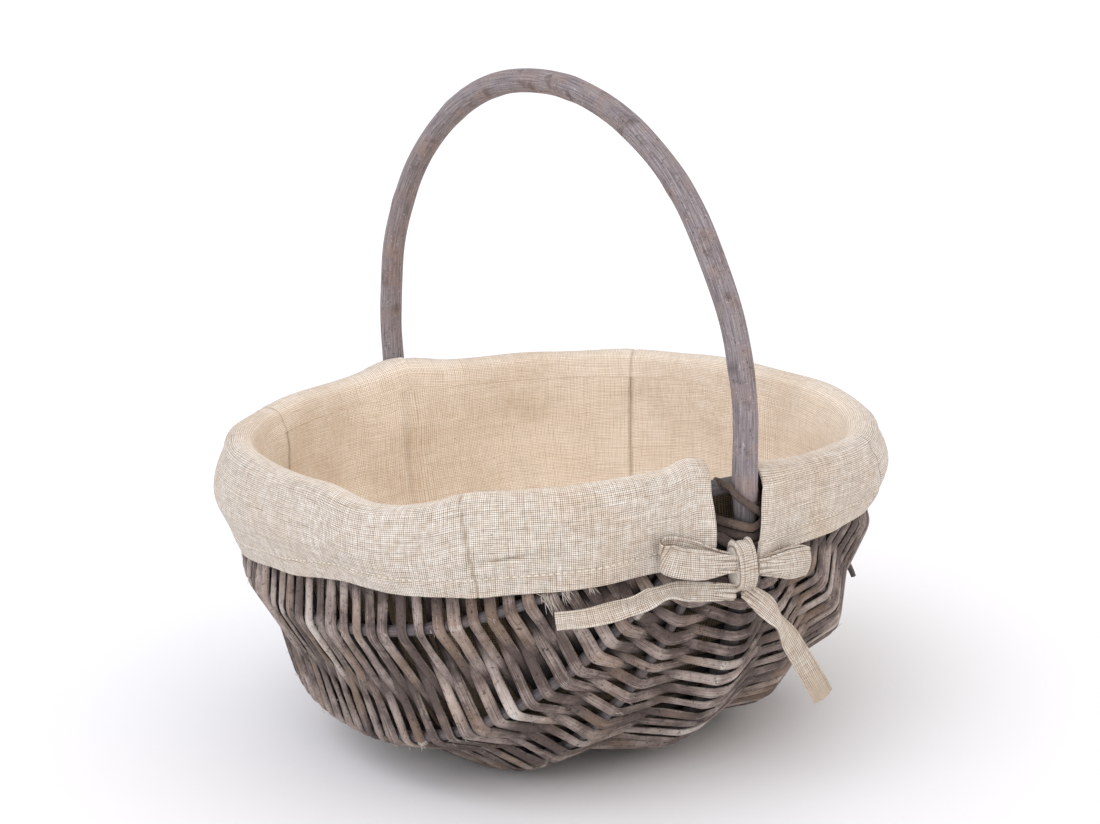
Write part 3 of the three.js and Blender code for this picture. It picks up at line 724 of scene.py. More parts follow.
# Broken fibres: the split willow frays where it bends sharply over a rib, and a few ends stick out.
# Each fibre is a thin, pale sliver that lies along the strip and curls away from it.
FRAYED_SHARE = 0.34
SHAGGY_SPOT = (-92, -143, 148)
STUB_START = (166, -85, 91)
fibres, tree = new_material("pale_willow_fibre")
fibre_tone = noise(tree, object_place(tree), 300, 2, 0.5)
add_shader(tree, {"Base Color": mixed(tree, fibre_tone, "#a99d90", "#ddd6cc"), "Roughness": 0.8})
luck = np.random.default_rng(8)
tufts = []
for bend_at in bends_out:
    if luck.random() < FRAYED_SHARE:
        tufts.append((bend_at, int(luck.integers(1, 5)), 0.8))
shaggiest = sorted(bends_out, key=lambda bend_at: np.linalg.norm(bend_at[0] - SHAGGY_SPOT))[:3]
tufts += [(bend_at, 30, 1.5) for bend_at in shaggiest]
# Each sliver is two rings of three quads and a tip of three triangles.
sliver_faces = [(2, 1, 0)]
sliver_faces += [(r + j, r + (j + 1) % 3, r + 3 + (j + 1) % 3, r + 3 + j) for r in (0, 3) for j in range(3)]
sliver_faces += [(6 + j, 6 + (j + 1) % 3, 9) for j in range(3)]
fray_points, fray_faces = [], []
for (centre, ahead, face, wide, *rest), count, size in tufts:
    out = unit(face) * np.sign(np.dot(face, centre - basket_heart))
    run_way = unit(np.cross(out, ahead))
    root_place = centre + out * STRIP_THICK * 0.55 + ahead * luck.normal(0, wide * 0.25)
    for n in range(count):
        way = unit(run_way * luck.choice([-1, 1]) + out * luck.uniform(0.05, 0.45)
                   + ahead * luck.normal(0, 0.22 * size))
        long, half = luck.uniform(2.0, 5.0) * size, luck.uniform(0.12, 0.26)
        root = root_place + ahead * luck.normal(0, wide * 0.22)
        root += run_way * luck.normal(0, 1.2 * size)
        curl = out * luck.uniform(0.1, 0.9) * size
        side_way = unit(np.cross(way, out))
        fray_faces += [tuple(len(fray_points) + v for v in sliver) for sliver in sliver_faces]
        for part, girth in ((0, 0.5), (0.35, 1), (0.75, 0.6)):
            middle = root + way * long * part + curl * part ** 2
            fray_points += [middle + (side_way * math.cos(a) + out * math.sin(a) * 0.6) * half * girth
                            for a in (0, 2.09, 4.19)]
        fray_points.append(root + way * long + curl)
stub_run = np.linspace(0, 1, 9)[:, None]
stub_points = STUB_START + stub_run * (9, -5, -5) + stub_run ** 2 * (-1, 1, -9)
add_piece(rod("willow_stub", stub_points, UP, np.linspace(2.2, 1.7, 9), (), sides=12, painted_shade=0.6), "willow")
fray_points = np.maximum(fray_points, [-1000, -1000, 0.1])
add_piece(add_mesh("broken_fibres", fray_points, fray_faces, fibres), "willow")


# Skeins: one turn of split willow binds the handle to the rim at each ear, in a tilted plane, so
# that it crosses both rods aslant. Two more turns below it bind the handle to the first strips.
SKEIN_WIDTH = 4.4
SKEIN_THICK = 2
SKEIN_TILT = -0.61
SKEIN_SLANT = 2
SKEIN_OFF = 0.8 + SKEIN_THICK / 2
# Each lower turn at an ear: its height, how much it slopes, and how far its ends rise.
EAR_TURNS = ((169.5, 1.0, 12.0), (163.5, -1.5, 10.0))
EAR_REACH = 29
EAR_WIDTH = 5.0
EAR_THICK = 2.0
skein_along = np.array([math.cos(SKEIN_TILT), 0, math.sin(SKEIN_TILT)])
skein_across = np.array([-math.sin(SKEIN_TILT), 0, math.cos(SKEIN_TILT)])


def keel_half_y(z):
    """Half length of the keel at a height."""
    return -np.interp(-z, -keel_points[:181, 2], keel_points[:181, 1])


turn = ((np.arange(72) + 0.5) / 72 * TURN)[:, None]
rod_y = np.array([-HANDLE_HALF_Y, -RIM_HALF_Y])
rod_deep = np.array([HANDLE_RADIUS, RIM_RADIUS]) + SKEIN_OFF
rod_wide = np.array([HANDLE_RADIUS / math.cos(SKEIN_TILT), RIM_RADIUS / abs(math.sin(SKEIN_TILT))])
rod_wide = rod_wide + SKEIN_SLANT + SKEIN_OFF
reach = np.hypot(rod_deep * np.cos(turn), rod_wide * np.sin(turn))
outermost = np.argmax(rod_y * np.cos(turn) + reach, axis=1)[:, None]
skein_y = np.take_along_axis(rod_y + rod_deep ** 2 * np.cos(turn) / reach, outermost, 1)
skein_run = np.take_along_axis(rod_wide ** 2 * np.sin(turn) / reach, outermost, 1)
skein_z = RIM_Z - 3 - 6.5 * np.maximum(-np.cos(turn), 0) ** 0.6
skein_points = columns(0, skein_y[:, 0], skein_z[:, 0]) + skein_along * skein_run
skein_faces = np.cos(turn) * (0, 1, 0) + skein_along * np.sin(turn)
for ear, flip in (("front", 1), ("back", -1)):
    half_round = np.array([flip, flip, 1])
    points = skein_points * half_round
    rings = section_rings(points, skein_across * half_round, skein_faces * half_round, SKEIN_WIDTH,
                          SKEIN_THICK)
    along = walk(np.concatenate([points, points[:1]]))["walked"]
    around = np.append(section_turn, TURN) * SKEIN_WIDTH / 2
    made = skin(f"skein_{ear}", rings, along, around, split, True, {
        # The skein is painted a little darker as shade.
        "tone_and_painted_light": -0.25, "bend": 0.4, "warm": 0.1, "painted_inner_shade": 0.3, "edge": at_edge})
    add_piece(made, "willow", f"handle_skein_{ear}")
    for number, (low, tilt, lift) in enumerate(EAR_TURNS):
        x = np.linspace(-EAR_REACH, EAR_REACH, 61)
        out = x / EAR_REACH
        height = low + tilt * out + lift * (np.sqrt(out ** 2 + 0.012) - 0.11)
        clear = hoop_radius(low) + FIT + 1.1
        beside = np.exp(-(x / 12) ** 4)
        bound = columns(x, 4 * (1 - beside) - keel_half_y(height) - clear * beside, height)
        name = f"ear_turn_{number + 1}_{ear}"
        made = strip(name, bound * half_round, UP, -half_round * [0, 1, 0], EAR_WIDTH, EAR_THICK, {
            "tone_and_painted_light": 0.1 - 0.2 * number, "bend": 0.3, "warm": 0.25 - 0.2 * number,
            # The ear turns are painted darker as shade toward their ends, where they go in under the weave.
            "painted_inner_shade": 0.25 + 0.5 * capped(np.abs(x[:, None]) / 12 - 0.5)})
        add_piece(made, "willow")


# Liner: four panels of unbleached canvas sewn side to side, with a floor, cuffed out over the rim.
# The cuff is slit at both ears, where the handle comes up, and its lower edge is hemmed.
CLOTH = 1.3
SEAM_TURNS = (0.103, 0.356, 0.601, 0.86)
# Each level of the wall: its height, how far it is inside the weave along x and y, and its roundness.
WALL_LEVELS = (
    (21.2, 21.4, 36, 2.5), (RIM_Z * 0.163, 18, 21.1, 2.5), (RIM_Z * 0.242, 11.6, 18.4, 2.35),
    (RIM_Z * 0.368, 7.2, 20.7, 2.45), (RIM_Z * 0.547, 10.6, 19.8, 2.42),
    (RIM_Z * 0.758, 10.2, 21, 2.38), (RIM_Z - 5.8, 10.7, 23.5, 2.35))
WALL_HEAD = len(WALL_LEVELS) - 1
# Soft folds: the share of a turn they stand at, how they lean, their half width and their depth.
WALL_FOLDS = (
    (0.5065, -0.00003, 3.6, 2.8), (0.535, -0.00012, 5, 2.0), (0.545, 0.0003, 9, 1.8),
    (0.44, -0.0002, 10, 1.4), (0.31, 0.0002, 8, 1.5), (0.22, 0.0003, 9, 1.6), (0.66, -0.0002, 8, 2.0),
    (0.79, 0.0003, 8, 1.8), (0.93, 0.0002, 8, 2.0), (0.05, -0.0002, 8, 1.8), (0.16, 0.0001, 7, 1.4))
SLACK_WAVES = ((1.0, 5, 31), (0.8, 9, -23), (0.6, 17, 17), (0.5, 4, 11), (0.4, 29, -9), (0.3, -11, 6))
ROUND = 1060
CUFF_SLIT = 14.5
CUFF_REACH = 9.9
EAR_SPREAD = 48
# Round the rim, at shares of a turn from the near ear: how far the cloth stands off over the rod, how
# far it bulges below it, and how far down the hem is.
CREST_PUFF = (
    (0.012, 0), (0.05, 0), (0.12, 0), (0.2, 0.3), (0.3, 0.8), (0.36, 0.2), (0.44, 0), (0.475, 0.5),
    (0.488, 3.5), (0.5, 6), (0.512, 4.5), (0.525, 1), (0.56, 0), (0.65, 0), (0.72, 0.3), (0.78, 0.6),
    (0.815, 0), (0.85, 0.5), (0.868, 3.4), (0.89, 3.8), (0.92, 2.9), (0.945, 3.8), (0.96, 5.0),
    (0.974, 5.8), (0.986, 9))
CUFF_BULGE = (
    (0.02, 0.5), (0.06, 1.5), (0.12, 5), (0.2, 4.5), (0.3, 2.5), (0.4, 2), (0.48, 1), (0.52, 1),
    (0.6, 3), (0.66, 6), (0.71, 6), (0.76, 4.5), (0.8, 3.5), (0.868, 1.5), (0.93, 1.5), (0.98, 0.5))
HEM_DROP = (
    (0.01, 40.5), (0.03, 42), (0.05, 42.5), (0.1, 41.5), (0.15, 43), (0.2, 45), (0.25, 46),
    (0.32, 44), (0.4, 42), (0.49, 40), (0.51, 39), (0.56, 42), (0.62, 45), (0.67, 50), (0.707, 54),
    (0.75, 48), (0.785, 42), (0.81, 41.2), (0.834, 42.5), (0.868, 42.5), (0.886, 41.7),
    (0.916, 41.6), (0.94, 40.2), (0.964, 38.8), (0.982, 38.8))
# At each level of the cuff: the share of the drop, and how the cloth bulges, draws in and spreads at the ear.
CUFF_LEVELS = ((0.22, 0.75, 0, 3), (0.45, 1.0, 0.3, 5.5), (0.72, 0.45, 1.2, 7), (1, 0, 2.6, 8))
rim_lines = {-1: lines[0], 1: lines[RIM_AT]}


def weave_half_x(z):
    """Half width of the weave's middle at a height, across the basket's middle."""
    half_x, height = zip(*[rib[:2] for rib in RIBS.values()], (RIM_HALF_X, RIM_Z))
    return np.interp(z, height, half_x)


def liner_stations(side, distance):
    """The cloth's stations from the foot of the wall over the rim and down to the hem."""
    line = rim_lines[side]
    turn = side * np.interp(distance, line["walked"], half_turn)
    centre = place(line, distance)
    outward = unit(np.cross(heading(line, distance), UP)) * side
    dip = smooth_round(turn, RIM_DIPS)
    puff, bulge = smooth_round(turn, CREST_PUFF), smooth_round(turn, CUFF_BULGE)
    from_slit = np.minimum(distance, line["length"] - distance) - CUFF_SLIT
    near_ear = capped(1 - from_slit / EAR_SPREAD) ** 2
    made = []
    for z, inset_x, inset_y, power in WALL_LEVELS:
        s, c = squircle(turn, power)
        height = z - RIM_SAG * s * s * z / RIM_Z + dip * (z / RIM_Z) ** 2
        made.append(columns((weave_half_x(z) - inset_x) * s, -(keel_half_y(z) - inset_y) * c, height))
    for lift in math.pi * (1 - np.arange(5) / 4):
        rise = (CUFF_REACH + puff) * math.sin(lift)
        made.append(centre + outward * CUFF_REACH * math.cos(lift) + UP * rise[:, None])
    for part, swell, draw, ear in CUFF_LEVELS:
        drawn_in = draw * (1 + 1.5 * (centre[:, 0] / RIM_HALF_X) ** 2)
        out = CUFF_REACH + swell * bulge - drawn_in + ear * near_ear
        drop = part * (smooth_round(turn, HEM_DROP) + dip)
        made.append(centre + outward * out[:, None] - UP * drop[:, None])
    return np.stack(made, 1), turn


def smooth_line(stations, shares):
    """Points on a smooth line through stations (columns, stations, 3) at shares of a station."""
    last = stations.shape[1] - 1
    base = np.minimum(shares.astype(int), last - 1)
    p1, p2 = stations[:, base], stations[:, base + 1]
    p0, p3 = stations[:, np.maximum(base - 1, 0)], stations[:, np.minimum(base + 2, last)]
    d01, d12, d23 = (np.linalg.norm(leg, axis=-1, keepdims=True) + 1e-6
                     for leg in (p1 - p0, p2 - p1, p3 - p2))
    leave = ((p2 - p1) / d12 + (p1 - p0) / d01) / 2 * d12
    arrive = ((p3 - p2) / d23 + (p2 - p1) / d12) / 2 * d12
    leave = np.where((base == 0)[None, :, None], p2 - p1, leave)
    arrive = np.where((base == last - 1)[None, :, None], p2 - p1, arrive)
    return hermite((shares - base)[None, :, None], p1, p2, leave, arrive)


def round_gap(turns, other):
    """The gap between two shares of a turn, the short way round, in millimetres."""
    return ((turns - other + 0.5) % 1 - 0.5) * ROUND


def ripples(table, turn, height):
    """Waves round and down the cloth; each has a size, a count, a phase and a height."""
    return sum(size * np.sin(times * turn + phase + height / rise) for size, times, phase, rise in table)


def grid_normals(grid):
    return unit(np.cross(np.gradient(grid, axis=0), np.gradient(grid, axis=1)))


def climbed(grid):
    """The distance along the cloth from the first row of each column of the grid."""
    return np.concatenate([np.zeros((len(grid), 1)), np.cumsum(legs(grid, 1), 1)], 1)


def cloth(name, grid, thick, u, v, values):
    """A sheet of canvas from a grid of points, thickened to both sides; a pair of values is for
    its two faces."""
    def both(outer, inner):
        faces = np.broadcast_to(outer, grid.shape[:2]), np.broadcast_to(inner, grid.shape[:2])[:, ::-1]
        return np.concatenate(faces, 1)

    normals = grid_normals(grid) * (np.broadcast_to(thick, grid.shape[:2]) / 2)[..., None]
    rings = np.concatenate([grid + normals, (grid - normals)[:, ::-1]], 1)
    along, around = (np.concatenate([both(run, run), both(run, run)[:, :1]], 1) for run in (u, v))
    values = {key: both(*value) if isinstance(value, tuple) else both(value, value)
              for key, value in values.items()}
    made = skin(name, rings, along, around, canvas, False, values)
    made.data.set_sharp_from_angle(angle=math.radians(50))
    wide = legs(grid).sum(0).max() * MM
    long = legs(grid, 1).sum(1).max() * MM
    across, down = grid[1:, 1:] - grid[:-1, :-1], grid[:-1, 1:] - grid[1:, :-1]
    area = np.linalg.norm(np.cross(across, down), axis=-1).sum() / 2 * MM ** 2
    return made


# Linen canvas: unbleached flax in an open plain weave, matt, with slubs 20 mm long, flecks of 2 mm
# and warm uneven tone over 70 mm. The threads are about 0.75 mm apart; they are drawn 1.1 mm apart,
# which is as fine as the render shows.
THREAD = 0.0011
THREAD_SWAY = 0.0009
canvas, tree = new_material("unbleached_linen_canvas")
spot = object_place(tree)
run = add_node(tree, "SeparateXYZ", {0: add_node(tree, "UVMap", uv_map="run").outputs[0]})
threads, slubs = [], []
for axis, slub_scale in (("X", (1 / THREAD, 45, 1)), ("Y", (45, 1 / THREAD, 1))):
    slubs.append(noise(tree, run_map(tree, slub_scale), 1, 2, 0.5))
    swayed = maths(tree, "ADD", run.outputs[axis], maths(tree, "MULTIPLY", slubs[-1], THREAD_SWAY))
    wave = maths(tree, "SINE", maths(tree, "MULTIPLY", swayed, math.pi / THREAD))
    threads.append(maths(tree, "ABSOLUTE", wave))
weave = maths(tree, "MULTIPLY", *threads)
slub = maths(tree, "ADD", *slubs)
age = noise(tree, spot, 14, 4, 0.6)
painted_inside_light = attribute(tree, "painted_inside_light")
inside_light_patches = maths(tree, "MULTIPLY", painted_inside_light, ranged(tree, age, 0.38, 0.58, 1.0, 0.4))
colour = layered(tree, mixed(tree, ranged(tree, slub, 0.6, 1.35), "#e2d7c8", "#fffaf2"), (
    (age, 0.46, 0.7, 0.55, "#dfc6a8"),
    (noise(tree, spot, 260, 5, 0.7), 0.4, 0.68, 0.62, "#c3ad96"),
    # Painted light: the inside of the liner is painted lighter, in patches, for the light inside the basket.
    (inside_light_patches, 0, 1, 1, "#fff3e2"),
    # Painted shade: the outer face of the wall, seen through the gaps of the weave, is painted dark.
    (attribute(tree, "stain_and_painted_shade"), 0, 1, 1, "#55432c"),
))
# The pores of the weave are painted lighter inside the liner as well, as painted light.
pores = mixed(tree, painted_inside_light, "#6f5e4b", "#bca17f")
colour = layered(tree, mixed(tree, ranged(tree, weave, 0, 0.42), pores, colour), (
    (noise(tree, spot, 420, 2, 0.6), 0.73, 0.8, 0.7, "#6d5a43"),
    # Seam lines, with painted shade along a tuck and a crease carried in the same darkening.
    (attribute(tree, "seam"), 0, 1, 1, "#8a7357"),
))
add_shader(tree, {
    "Base Color": colour, "Normal": relief(tree, maths(tree, "ADD", weave, slub), 0.5, 0.0005),
    "Roughness": 0.88, "Specular IOR Level": 0.2, "Sheen Weight": 0.15})

phases = np.random.default_rng(41).uniform(0, 6.28, len(SLACK_WAVES))
slack_waves = [(size, times, phase, rise) for (size, times, rise), phase in zip(SLACK_WAVES, phases)]


def fold_gap(turns, z, middle, lean):
    return round_gap(turns[:, None], middle + lean * (z - 110))


def wall_creases(z, turns):
    """How far the wall's cloth stands in from its smooth shape: slack waves, soft folds and puckers."""
    free = capped((z - 26) / 30) * capped((182 - z) / 24)
    folds = sum(size * bell(fold_gap(turns, z, middle, lean), wide)
                for middle, lean, wide, size in WALL_FOLDS)
    near = np.min([np.abs(round_gap(turns[:, None], seam)) for seam in SEAM_TURNS], axis=0)
    slack = ripples(slack_waves, turns[:, None] * TURN, z)
    return (1.0 + slack + folds + 0.4 * bell(near, 11) * np.sin(z / 1.9) - 0.5 * bell(near, 1.8)) * free + 0.6


for number, (start, stop) in enumerate(zip(SEAM_TURNS, SEAM_TURNS[1:] + (SEAM_TURNS[0] + 1,))):
    turns = np.linspace(start + 0.0002, stop - 0.0002, 96)
    signed = (turns + 0.5) % 1 - 0.5
    stations = np.zeros((len(turns), WALL_HEAD + 10, 3))
    for side, on_side in ((1, signed >= 0), (-1, signed < 0)):
        distance = np.interp(np.abs(signed[on_side]) * TURN, half_turn, rim_lines[side]["walked"])
        stations[on_side] = liner_stations(side, distance)[0]
    rows = np.linspace(0, WALL_HEAD + 0.25, 66)
    grid = smooth_line(stations, rows)
    inward = grid_normals(grid)
    inward *= -np.sign(np.sum(inward[:, :40] * (grid[:, :40] * [1, 1, 0]), (1, 2)))[:, None, None]
    under_rim = 0.22 * capped((rows - WALL_HEAD + 0.2) / 0.25)
    grid += inward * (wall_creases(grid[..., 2], turns) - under_rim)[..., None]
    gap = np.minimum(turns - start, stop - turns)[:, None] * ROUND
    # Painted shade: the seam darkening also runs along the tuck of the first fold.
    tuck_painted_shade = bell(fold_gap(turns, grid[..., 2], *WALL_FOLDS[0][:2]), 1.1)
    # The wall takes the painted light of the inside in full.
    panel = cloth(f"liner_panel_{number + 1}", grid, CLOTH, turns[:, None] * ROUND, climbed(grid), {
        # The wall's outer face is painted dark as shade; its inner face is not.
        "seam": 0.5 * bell(gap, 0.7) + 0.3 * tuck_painted_shade, "painted_inside_light": 1.0, "stain_and_painted_shade": (0.94, 0.0)})
    add_piece(panel, "canvas", f"liner_wall_{number + 1}")


# Floor of the liner: a flat oval of the same canvas, lying on the keel and the lowest ribs.
# It is a little creased, and its edge is sewn to the foot of the panels.
FLOOR_HALF_X = 109.0
FLOOR_HALF_Y = 79.5
FLOOR_Z = 20.5
floor_s, floor_c = squircle(np.pi * np.linspace(0.015, 0.985, 70)[:, None], 2.5)
floor_x, floor_y = -FLOOR_HALF_X * floor_c, FLOOR_HALF_Y * floor_s * np.linspace(-1, 1, 50)
base_grid = columns(floor_x, floor_y, FLOOR_Z + 0.5 * np.sin(floor_x / 19) * np.sin(floor_y / 23 + 1))
# The floor of the liner takes the painted light of the inside in full.
base_piece = cloth("liner_base", base_grid, CLOTH, floor_x, floor_y, {"seam": 0.0, "painted_inside_light": 1.0})
add_piece(base_piece, "canvas", "liner_floor")


# Cuffs: the top of the liner folded out over the rim, one half at each end of the basket.
# The panel seams run on over them, puckered by the thread, and the hem is stitched 11 mm above its edge.
# Each seam of the cuff: its share of a turn, and how far it leans on the way down.
CUFF_SEAMS = ((0.103, 0), (0.356, 0), (0.601, 0), (0.8675, 0.0075))
CUFF_WAVES = ((0.8, 11, 2.1, -30), (0.5, 19, 0, 16), (0.35, 33, 1, -11))
CUFF_STEPS = 380
HEM_STITCH = 11
HEM_ROWS = 90
STITCH_HALF = 1.15
# Along a stitch: places as shares of its half length, and how thick it is there.
STITCH_RING = ((-1, 0.25), (-0.75, 1), (0.75, 1), (1.0, 0.25))
thread, tree = new_material("cotton_sewing_thread")
ply = noise(tree, run_map(tree, (2400, 900, 1)), 1, 2, 0.5)
add_shader(tree, {"Base Color": mixed(tree, ply, "#e0d3be", "#fbf6ec"), "Roughness": 0.8})


def stitches(name, centres, normals, along, across):
    """A row of machine stitches, each a short thread lying on the cloth, as one piece."""
    turn = (np.arange(5) / 5 * TURN)[:, None]
    section = across[:, None] * np.cos(turn) * 0.42 + normals[:, None] * np.sin(turn) * 0.36
    points = np.stack([(centres + along * STITCH_HALF * at)[:, None] + section * wide
                       for at, wide in STITCH_RING], 1).reshape(-1, 3)
    pattern = [(i + j, i + (j + 1) % 5, i + 5 + (j + 1) % 5, i + 5 + j) for i in (0, 5, 10) for j in range(5)]
    pattern += [(4, 3, 2, 1, 0), (15, 16, 17, 18, 19)]
    faces = [tuple(20 * n + corner for corner in face) for n in range(len(centres)) for face in pattern]
    made = add_mesh(name, points, faces, thread)
    flat = points[[corner for face in faces for corner in face]] * MM
    add_run(made, flat[:, :2] + flat[:, 2:])
    return made


for side, side_name in ((-1, "left"), (1, "right")):
    line = rim_lines[side]
    distance = np.linspace(CUFF_SLIT, line["length"] - CUFF_SLIT, CUFF_STEPS)
    stations, turn = liner_stations(side, distance)
    grid = smooth_line(stations, np.linspace(WALL_HEAD, WALL_HEAD + 9, HEM_ROWS))
    normals = grid_normals(grid)
    outward = unit(np.cross(heading(line, distance), UP)) * side
    normals *= np.sign(np.sum(normals[:, -1] * outward, -1))[:, None, None]
    depth = climbed(grid)
    below = depth - depth[:, [30]]
    to_hem = depth[:, [-1]] - depth
    t = turn[:, None]
    hang = capped(below / 55)
    waves = ripples(((1.0, 6, 0.6 + side, 40),) + CUFF_WAVES, t, below)
    groove, pucker, seam = 0, 0, 0
    for at, lean in CUFF_SEAMS:
        gap = round_gap(t / TURN, at + lean * hang)
        groove -= 0.8 * bell(gap, 1.2) * capped(below / 6 + 2)
        pucker += 0.5 * bell(gap, 12) * np.sin(below / 2.3 + gap / 9) * capped(below / 12)
        seam += 0.6 * bell(gap, 0.75)
        if lean:
            crease_gap = below - 41 + gap * 0.12
            pucker -= 2.2 * bell(crease_gap, 1.3) * bell(gap - 18, 16)
            pucker += 1.3 * bell(crease_gap + 4, 2.6) * bell(gap - 18, 24)
            # Painted shade: the seam darkening also runs along the crease.
            seam += 0.3 * bell(crease_gap, 0.8) * bell(gap - 18, 12)
    # At the slit one flap hangs open and the other is drawn back over the ear and laid on the tie.
    from_slit = (np.minimum(distance, line["length"] - distance) - CUFF_SLIT)[:, None]
    at_front = (distance < line["length"] / 2)[:, None]
    opened = np.where(at_front, 6, -5) + 3.5 * hang
    drawn = np.where(at_front, -1 - 6.5 * np.sin(np.pi * hang ** 0.8), -5) - 15 * hang ** 1.2
    slide = np.where(at_front == (side < 0), opened, drawn) * capped((depth - 6) / 12)
    meeting = (CUFF_SLIT - 0.3) * capped(1 - below / 5)
    slide = np.where(at_front, slide, -np.minimum(slide, -meeting)) * bell(from_slit, 34)
    laid_over = np.where(at_front == (side < 0), 0, 13 - 5 * hang) * bell(from_slit, 22)
    laid_over *= capped((below + 2) / 16)
    grid += heading(line, distance)[:, None] * slide[..., None] + outward[:, None] * laid_over[..., None]
    stitch_dent = -0.6 * bell(to_hem - HEM_STITCH, 0.9)
    stitch_dent -= 0.5 * bell(from_slit - 16, 0.6) * capped(below / 10)
    roll_soft = 0.5 * np.sin(14 * t + 1.3) * bell(below, 22) * capped(depth / 8)
    loose = 0.06 + 0.75 * hang ** 1.3 * capped(to_hem / 16 + 0.35)
    lift = 0.6 + waves * loose * capped(below / 14 + 1) + pucker + groove + stitch_dent + roll_soft
    grid += normals * lift[..., None]
    grid[..., 2] -= 0.25 * np.sin(17 * t + 2) * hang
    thick = CLOTH + 0.9 / (1 + np.exp((to_hem - 10.5) / 0.4))
    seam = np.minimum(seam + 0.28 * bell(to_hem - 10.2, 0.5), 0.7)
    # The cuff takes the painted light of the inside near the wall, fading out just past the crest.
    cuff = cloth(f"liner_cuff_cloth_{side_name}", grid, thick, distance[:, None], below, {
        "seam": seam, "painted_inside_light": capped(1 - (below + 8) / 14)})
    add_piece(cuff, "canvas", f"liner_cuff_{side_name}")
    column = np.arange(len(distance))
    row = np.argmin(np.abs(to_hem - HEM_STITCH), axis=1)
    after = np.minimum(row + 1, HEM_ROWS - 1)
    row_step = np.diff(depth, axis=1)[column, np.minimum(row, HEM_ROWS - 2)]
    row_part = ((to_hem[column, row] - HEM_STITCH) / row_step)[:, None]
    surface = grid[column, row] * (1 - row_part) + grid[column, after] * row_part
    surface += normals[column, row] * (thick[column, row] / 2 + 0.1)[:, None]
    picked = np.linspace(4, len(distance) - 5, 150)
    low = picked.astype(int)
    part = (picked - low)[:, None]
    centres = surface[low] * (1 - part) + surface[low + 1] * part
    ahead, out = unit(surface[low + 1] - surface[low]), normals[low, row[low]]
    add_piece(stitches(f"hem_stitches_{side_name}", centres, out, ahead, np.cross(out, ahead)), "canvas")


# Bows: ties of the same canvas, folded and sewn flat, that hold the cuff round each ear.
# The tie is gathered where it goes into the knot and keeps a crease along its sewn edge.
TAPE_GATHERED = 9
TAPE_STEPS = 120
TAIL_WIDTH = 11
KNOT_HALF_X = 7
KNOT_HALF_Y = 7
KNOT_HALF_Z = 14
KNOT_NEST = 2.2
KNOT_X = -12
KNOT_Z = RIM_Z - 39
KNOT_Y = -(keel_half_y(KNOT_Z) + KEEL_RADIUS + FIT + STRIP_THICK + KNOT_HALF_Y - KNOT_NEST)
# Each tie: its path and where on the knot it starts, the ways its width points, its width, whether
# it comes back to the knot, its twists (place, length, turn), and how far it curls.
TIES = {
    "loop_left": (
        ((-0.4, 1.9, 3.5), (-17, 7.4, 8), (-29, 8.7, 12), (-37, 8.1, 13.5),
         (-40.5, 4.2, 12), (-36, 0.2, 9.5), (-22, -2.6, 6), (-0.4, -4.1, 3)),
        (-1, 0), ((0, 0, 1), (0.05, -0.25, 1), (-0.15, 0.2, 1), (0.1, 0.35, 1), (0, 0, 1)),
        17, True, ((0.3, 0.1, 0.15), (0.62, 0.1, -0.15)), 1.0),
    "loop_right": (
        ((1.6, 1.5, -3), (19, 3, -4.5), (33, 5.3, -7), (42, 6.4, -8.5),
         (45.5, 2.8, -10), (40, -1.4, -8), (22, -3.7, -5.5), (1.6, -3.4, -2.5)),
        (1, 0), ((0.3, 0, 1), (0.2, -0.1, 1), (0.2, 0, 1), (0.2, 0.2, 1), (0.3, 0, 1)),
        16.5, True, (), -1.6),
    "tail_left": (
        ((-2, 0, -1), (-20.8, 3.1, 2.5), (-39.2, 5.5, 4.5), (-62.5, 5.5, 0.5), (-83.2, 5.3, -3.8),
         (-100.8, 5.5, -5.4)),
        (-0.45, -1), ((0, 0, 1), (0, 0, 1)),
        TAIL_WIDTH, False, ((0.4, 0.1, 1.1), (0.62, 0.1, -0.4), (1, 0.4, 0.85)), 1.6),
    "tail_right": (
        ((1, -1, -0.5), (20.3, -3, -18.6), (29, -4, -32), (43.7, -3, -54), (60.5, -2, -79.4)),
        (0, -1), ((1, 0, 0.35), (1, 0, 0.35)),
        TAIL_WIDTH + 2.5, False, ((0.33, 0.1, -0.6), (0.9, 0.2, 0.3)), 0.9),
}


def drawn_back(x, z):
    """How far the weave has drawn back from the ear at a distance to the side."""
    left = 1 - (abs(x) / weave_half_x(z)) ** RIM_POWER
    return keel_half_y(z) * (1 - left ** (1 / RIM_POWER))


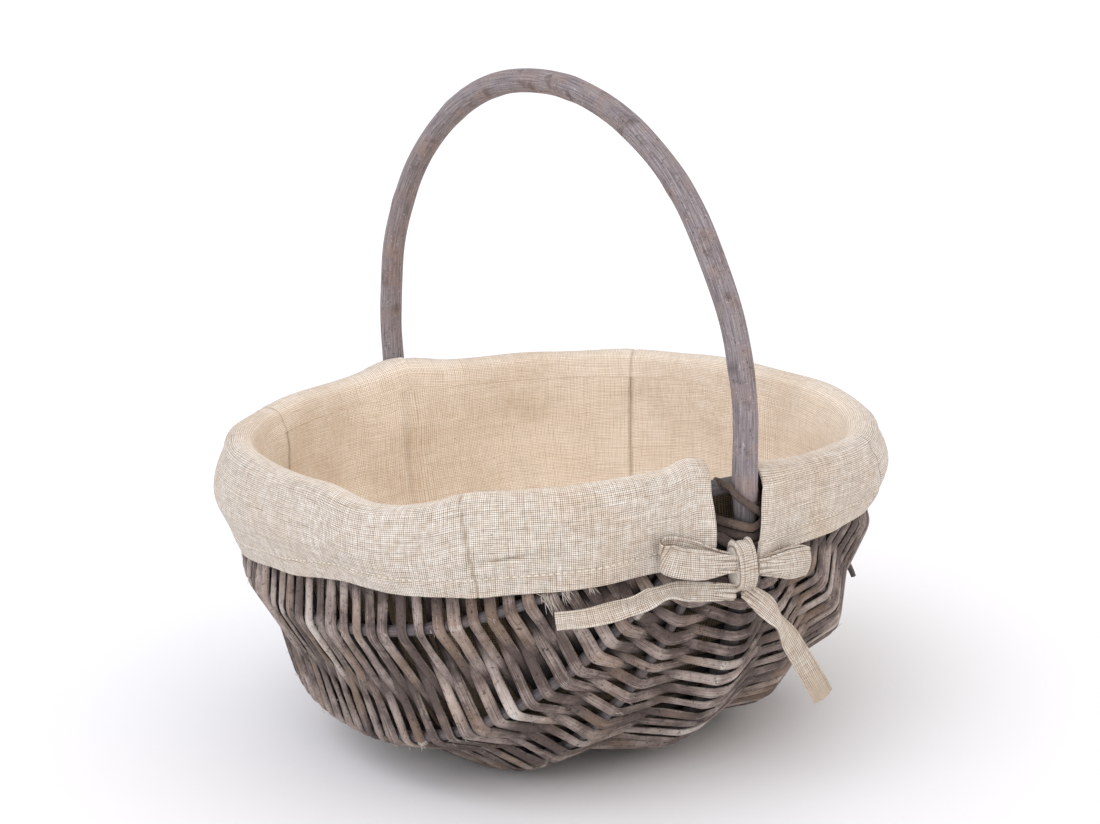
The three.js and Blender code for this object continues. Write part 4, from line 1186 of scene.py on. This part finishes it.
def tie(name, knot, flip, path, start_at, ways, end_width, loop, twists, curl):
    """A run of folded tape along a smooth path, gathered where it enters the knot."""
    start = (KNOT_X + start_at[0] * KNOT_HALF_X, KNOT_Y, KNOT_Z + start_at[1] * KNOT_HALF_Z)
    route = np.array(path, float) + start
    route[:, 1] += drawn_back(route[:, 0], KNOT_Z)
    line = walk(smooth_line(route[None], np.linspace(0, len(path) - 1, TAPE_STEPS))[0])
    points = place(line, np.linspace(0, line["length"], TAPE_STEPS))
    share = np.linspace(0, 1, TAPE_STEPS)[:, None]
    ahead = unit(np.gradient(points, axis=0))
    across = spread(share[:, 0] * (len(ways) - 1), ways)
    across = unit(across - ahead * dot(ahead, across))
    normal = unit(np.cross(ahead, across))
    twist = sum((size * bell(share - at, wide) for at, wide, size in twists), 0 * share)
    across, normal = (across * np.cos(twist) + normal * np.sin(twist),
                      normal * np.cos(twist) - across * np.sin(twist))
    free = np.minimum(np.minimum(share, 1 - share) * 3.4 if loop else share * 5, 1)
    free = free * free * (3 - 2 * free)
    width = TAPE_GATHERED + (end_width - TAPE_GATHERED) * free
    spots = np.linspace(-0.5, 0.5, 25)
    pleats = (1 - free) * 1.2 * np.cos(spots * TURN * 2.6 + 0.4)
    curled = curl * (np.cos(spots * np.pi * 1.3) - 0.5)
    rippled = 0.35 * np.sin(share * 19 + 1) * np.sin(spots * 5 + share * 9)
    bow_out = pleats + (curled + rippled) * free
    middle = points[:, None] + across[:, None] * (width * spots)[..., None]
    middle += normal[:, None] * bow_out[..., None]
    thin = 1.9 * (1 - 0.5 * np.abs(spots * 2) ** 8)
    seam_line = bell((spots - 0.37) * end_width, 0.55)
    return cloth(name, middle * (flip, flip, 1), thin - 0.6 * seam_line,
                 walk(points)["walked"][:, None], spots * width + 7.5,
                 {"seam": 0.35 * seam_line, "stain_and_painted_shade": 0.13})


for ear, flip in (("front", 1), ("back", -1)):
    for piece, shape in TIES.items():
        made = tie(f"tie_{piece}_{ear}", f"tie_knot_{ear}", flip, *shape)
        add_piece(made, "canvas", f"bow_{piece}_{ear}")
    x = np.concatenate([np.linspace(-6.9, -5.2, 5), np.linspace(-4.8, 4.8, 24), np.linspace(5.2, 6.9, 5)])
    x = x[:, None]
    turn = np.arange(64) / 64 * TURN
    folded_in = 1 - 0.42 * capped((np.abs(x) - 5.6) / 1.3) ** 1.6
    ridge = 0.045 * bell(np.abs(x) - 4.7, 0.8) - 0.03 * bell(np.abs(x) - 3.4, 0.6)
    wrinkle = 0.022 * np.sin(3 * turn + x * 0.5) + 0.018 * np.sin(7 * turn - x * 0.9 + 1)
    swell = folded_in * (1 + ridge + wrinkle + 0.02 * np.sin(x * 1.1 + turn))
    knot_z, knot_y = squircle(turn, 2 / 0.85)
    knot_z, knot_y = knot_z * swell * 14.5, knot_y * swell * 6.6
    rings = columns((KNOT_X + x - 0.07 * knot_z) * flip, (KNOT_Y + knot_y) * flip, KNOT_Z + knot_z)
    knot = skin(f"tie_knot_{ear}", rings, x[:, 0] + 7, np.arange(65) / 64 * 68, canvas, False, {
        "seam": 0.4 * bell(np.abs(x) - 3.5, 0.35), "stain_and_painted_shade": 0.11})
    add_piece(knot, "canvas", f"bow_knot_{ear}")
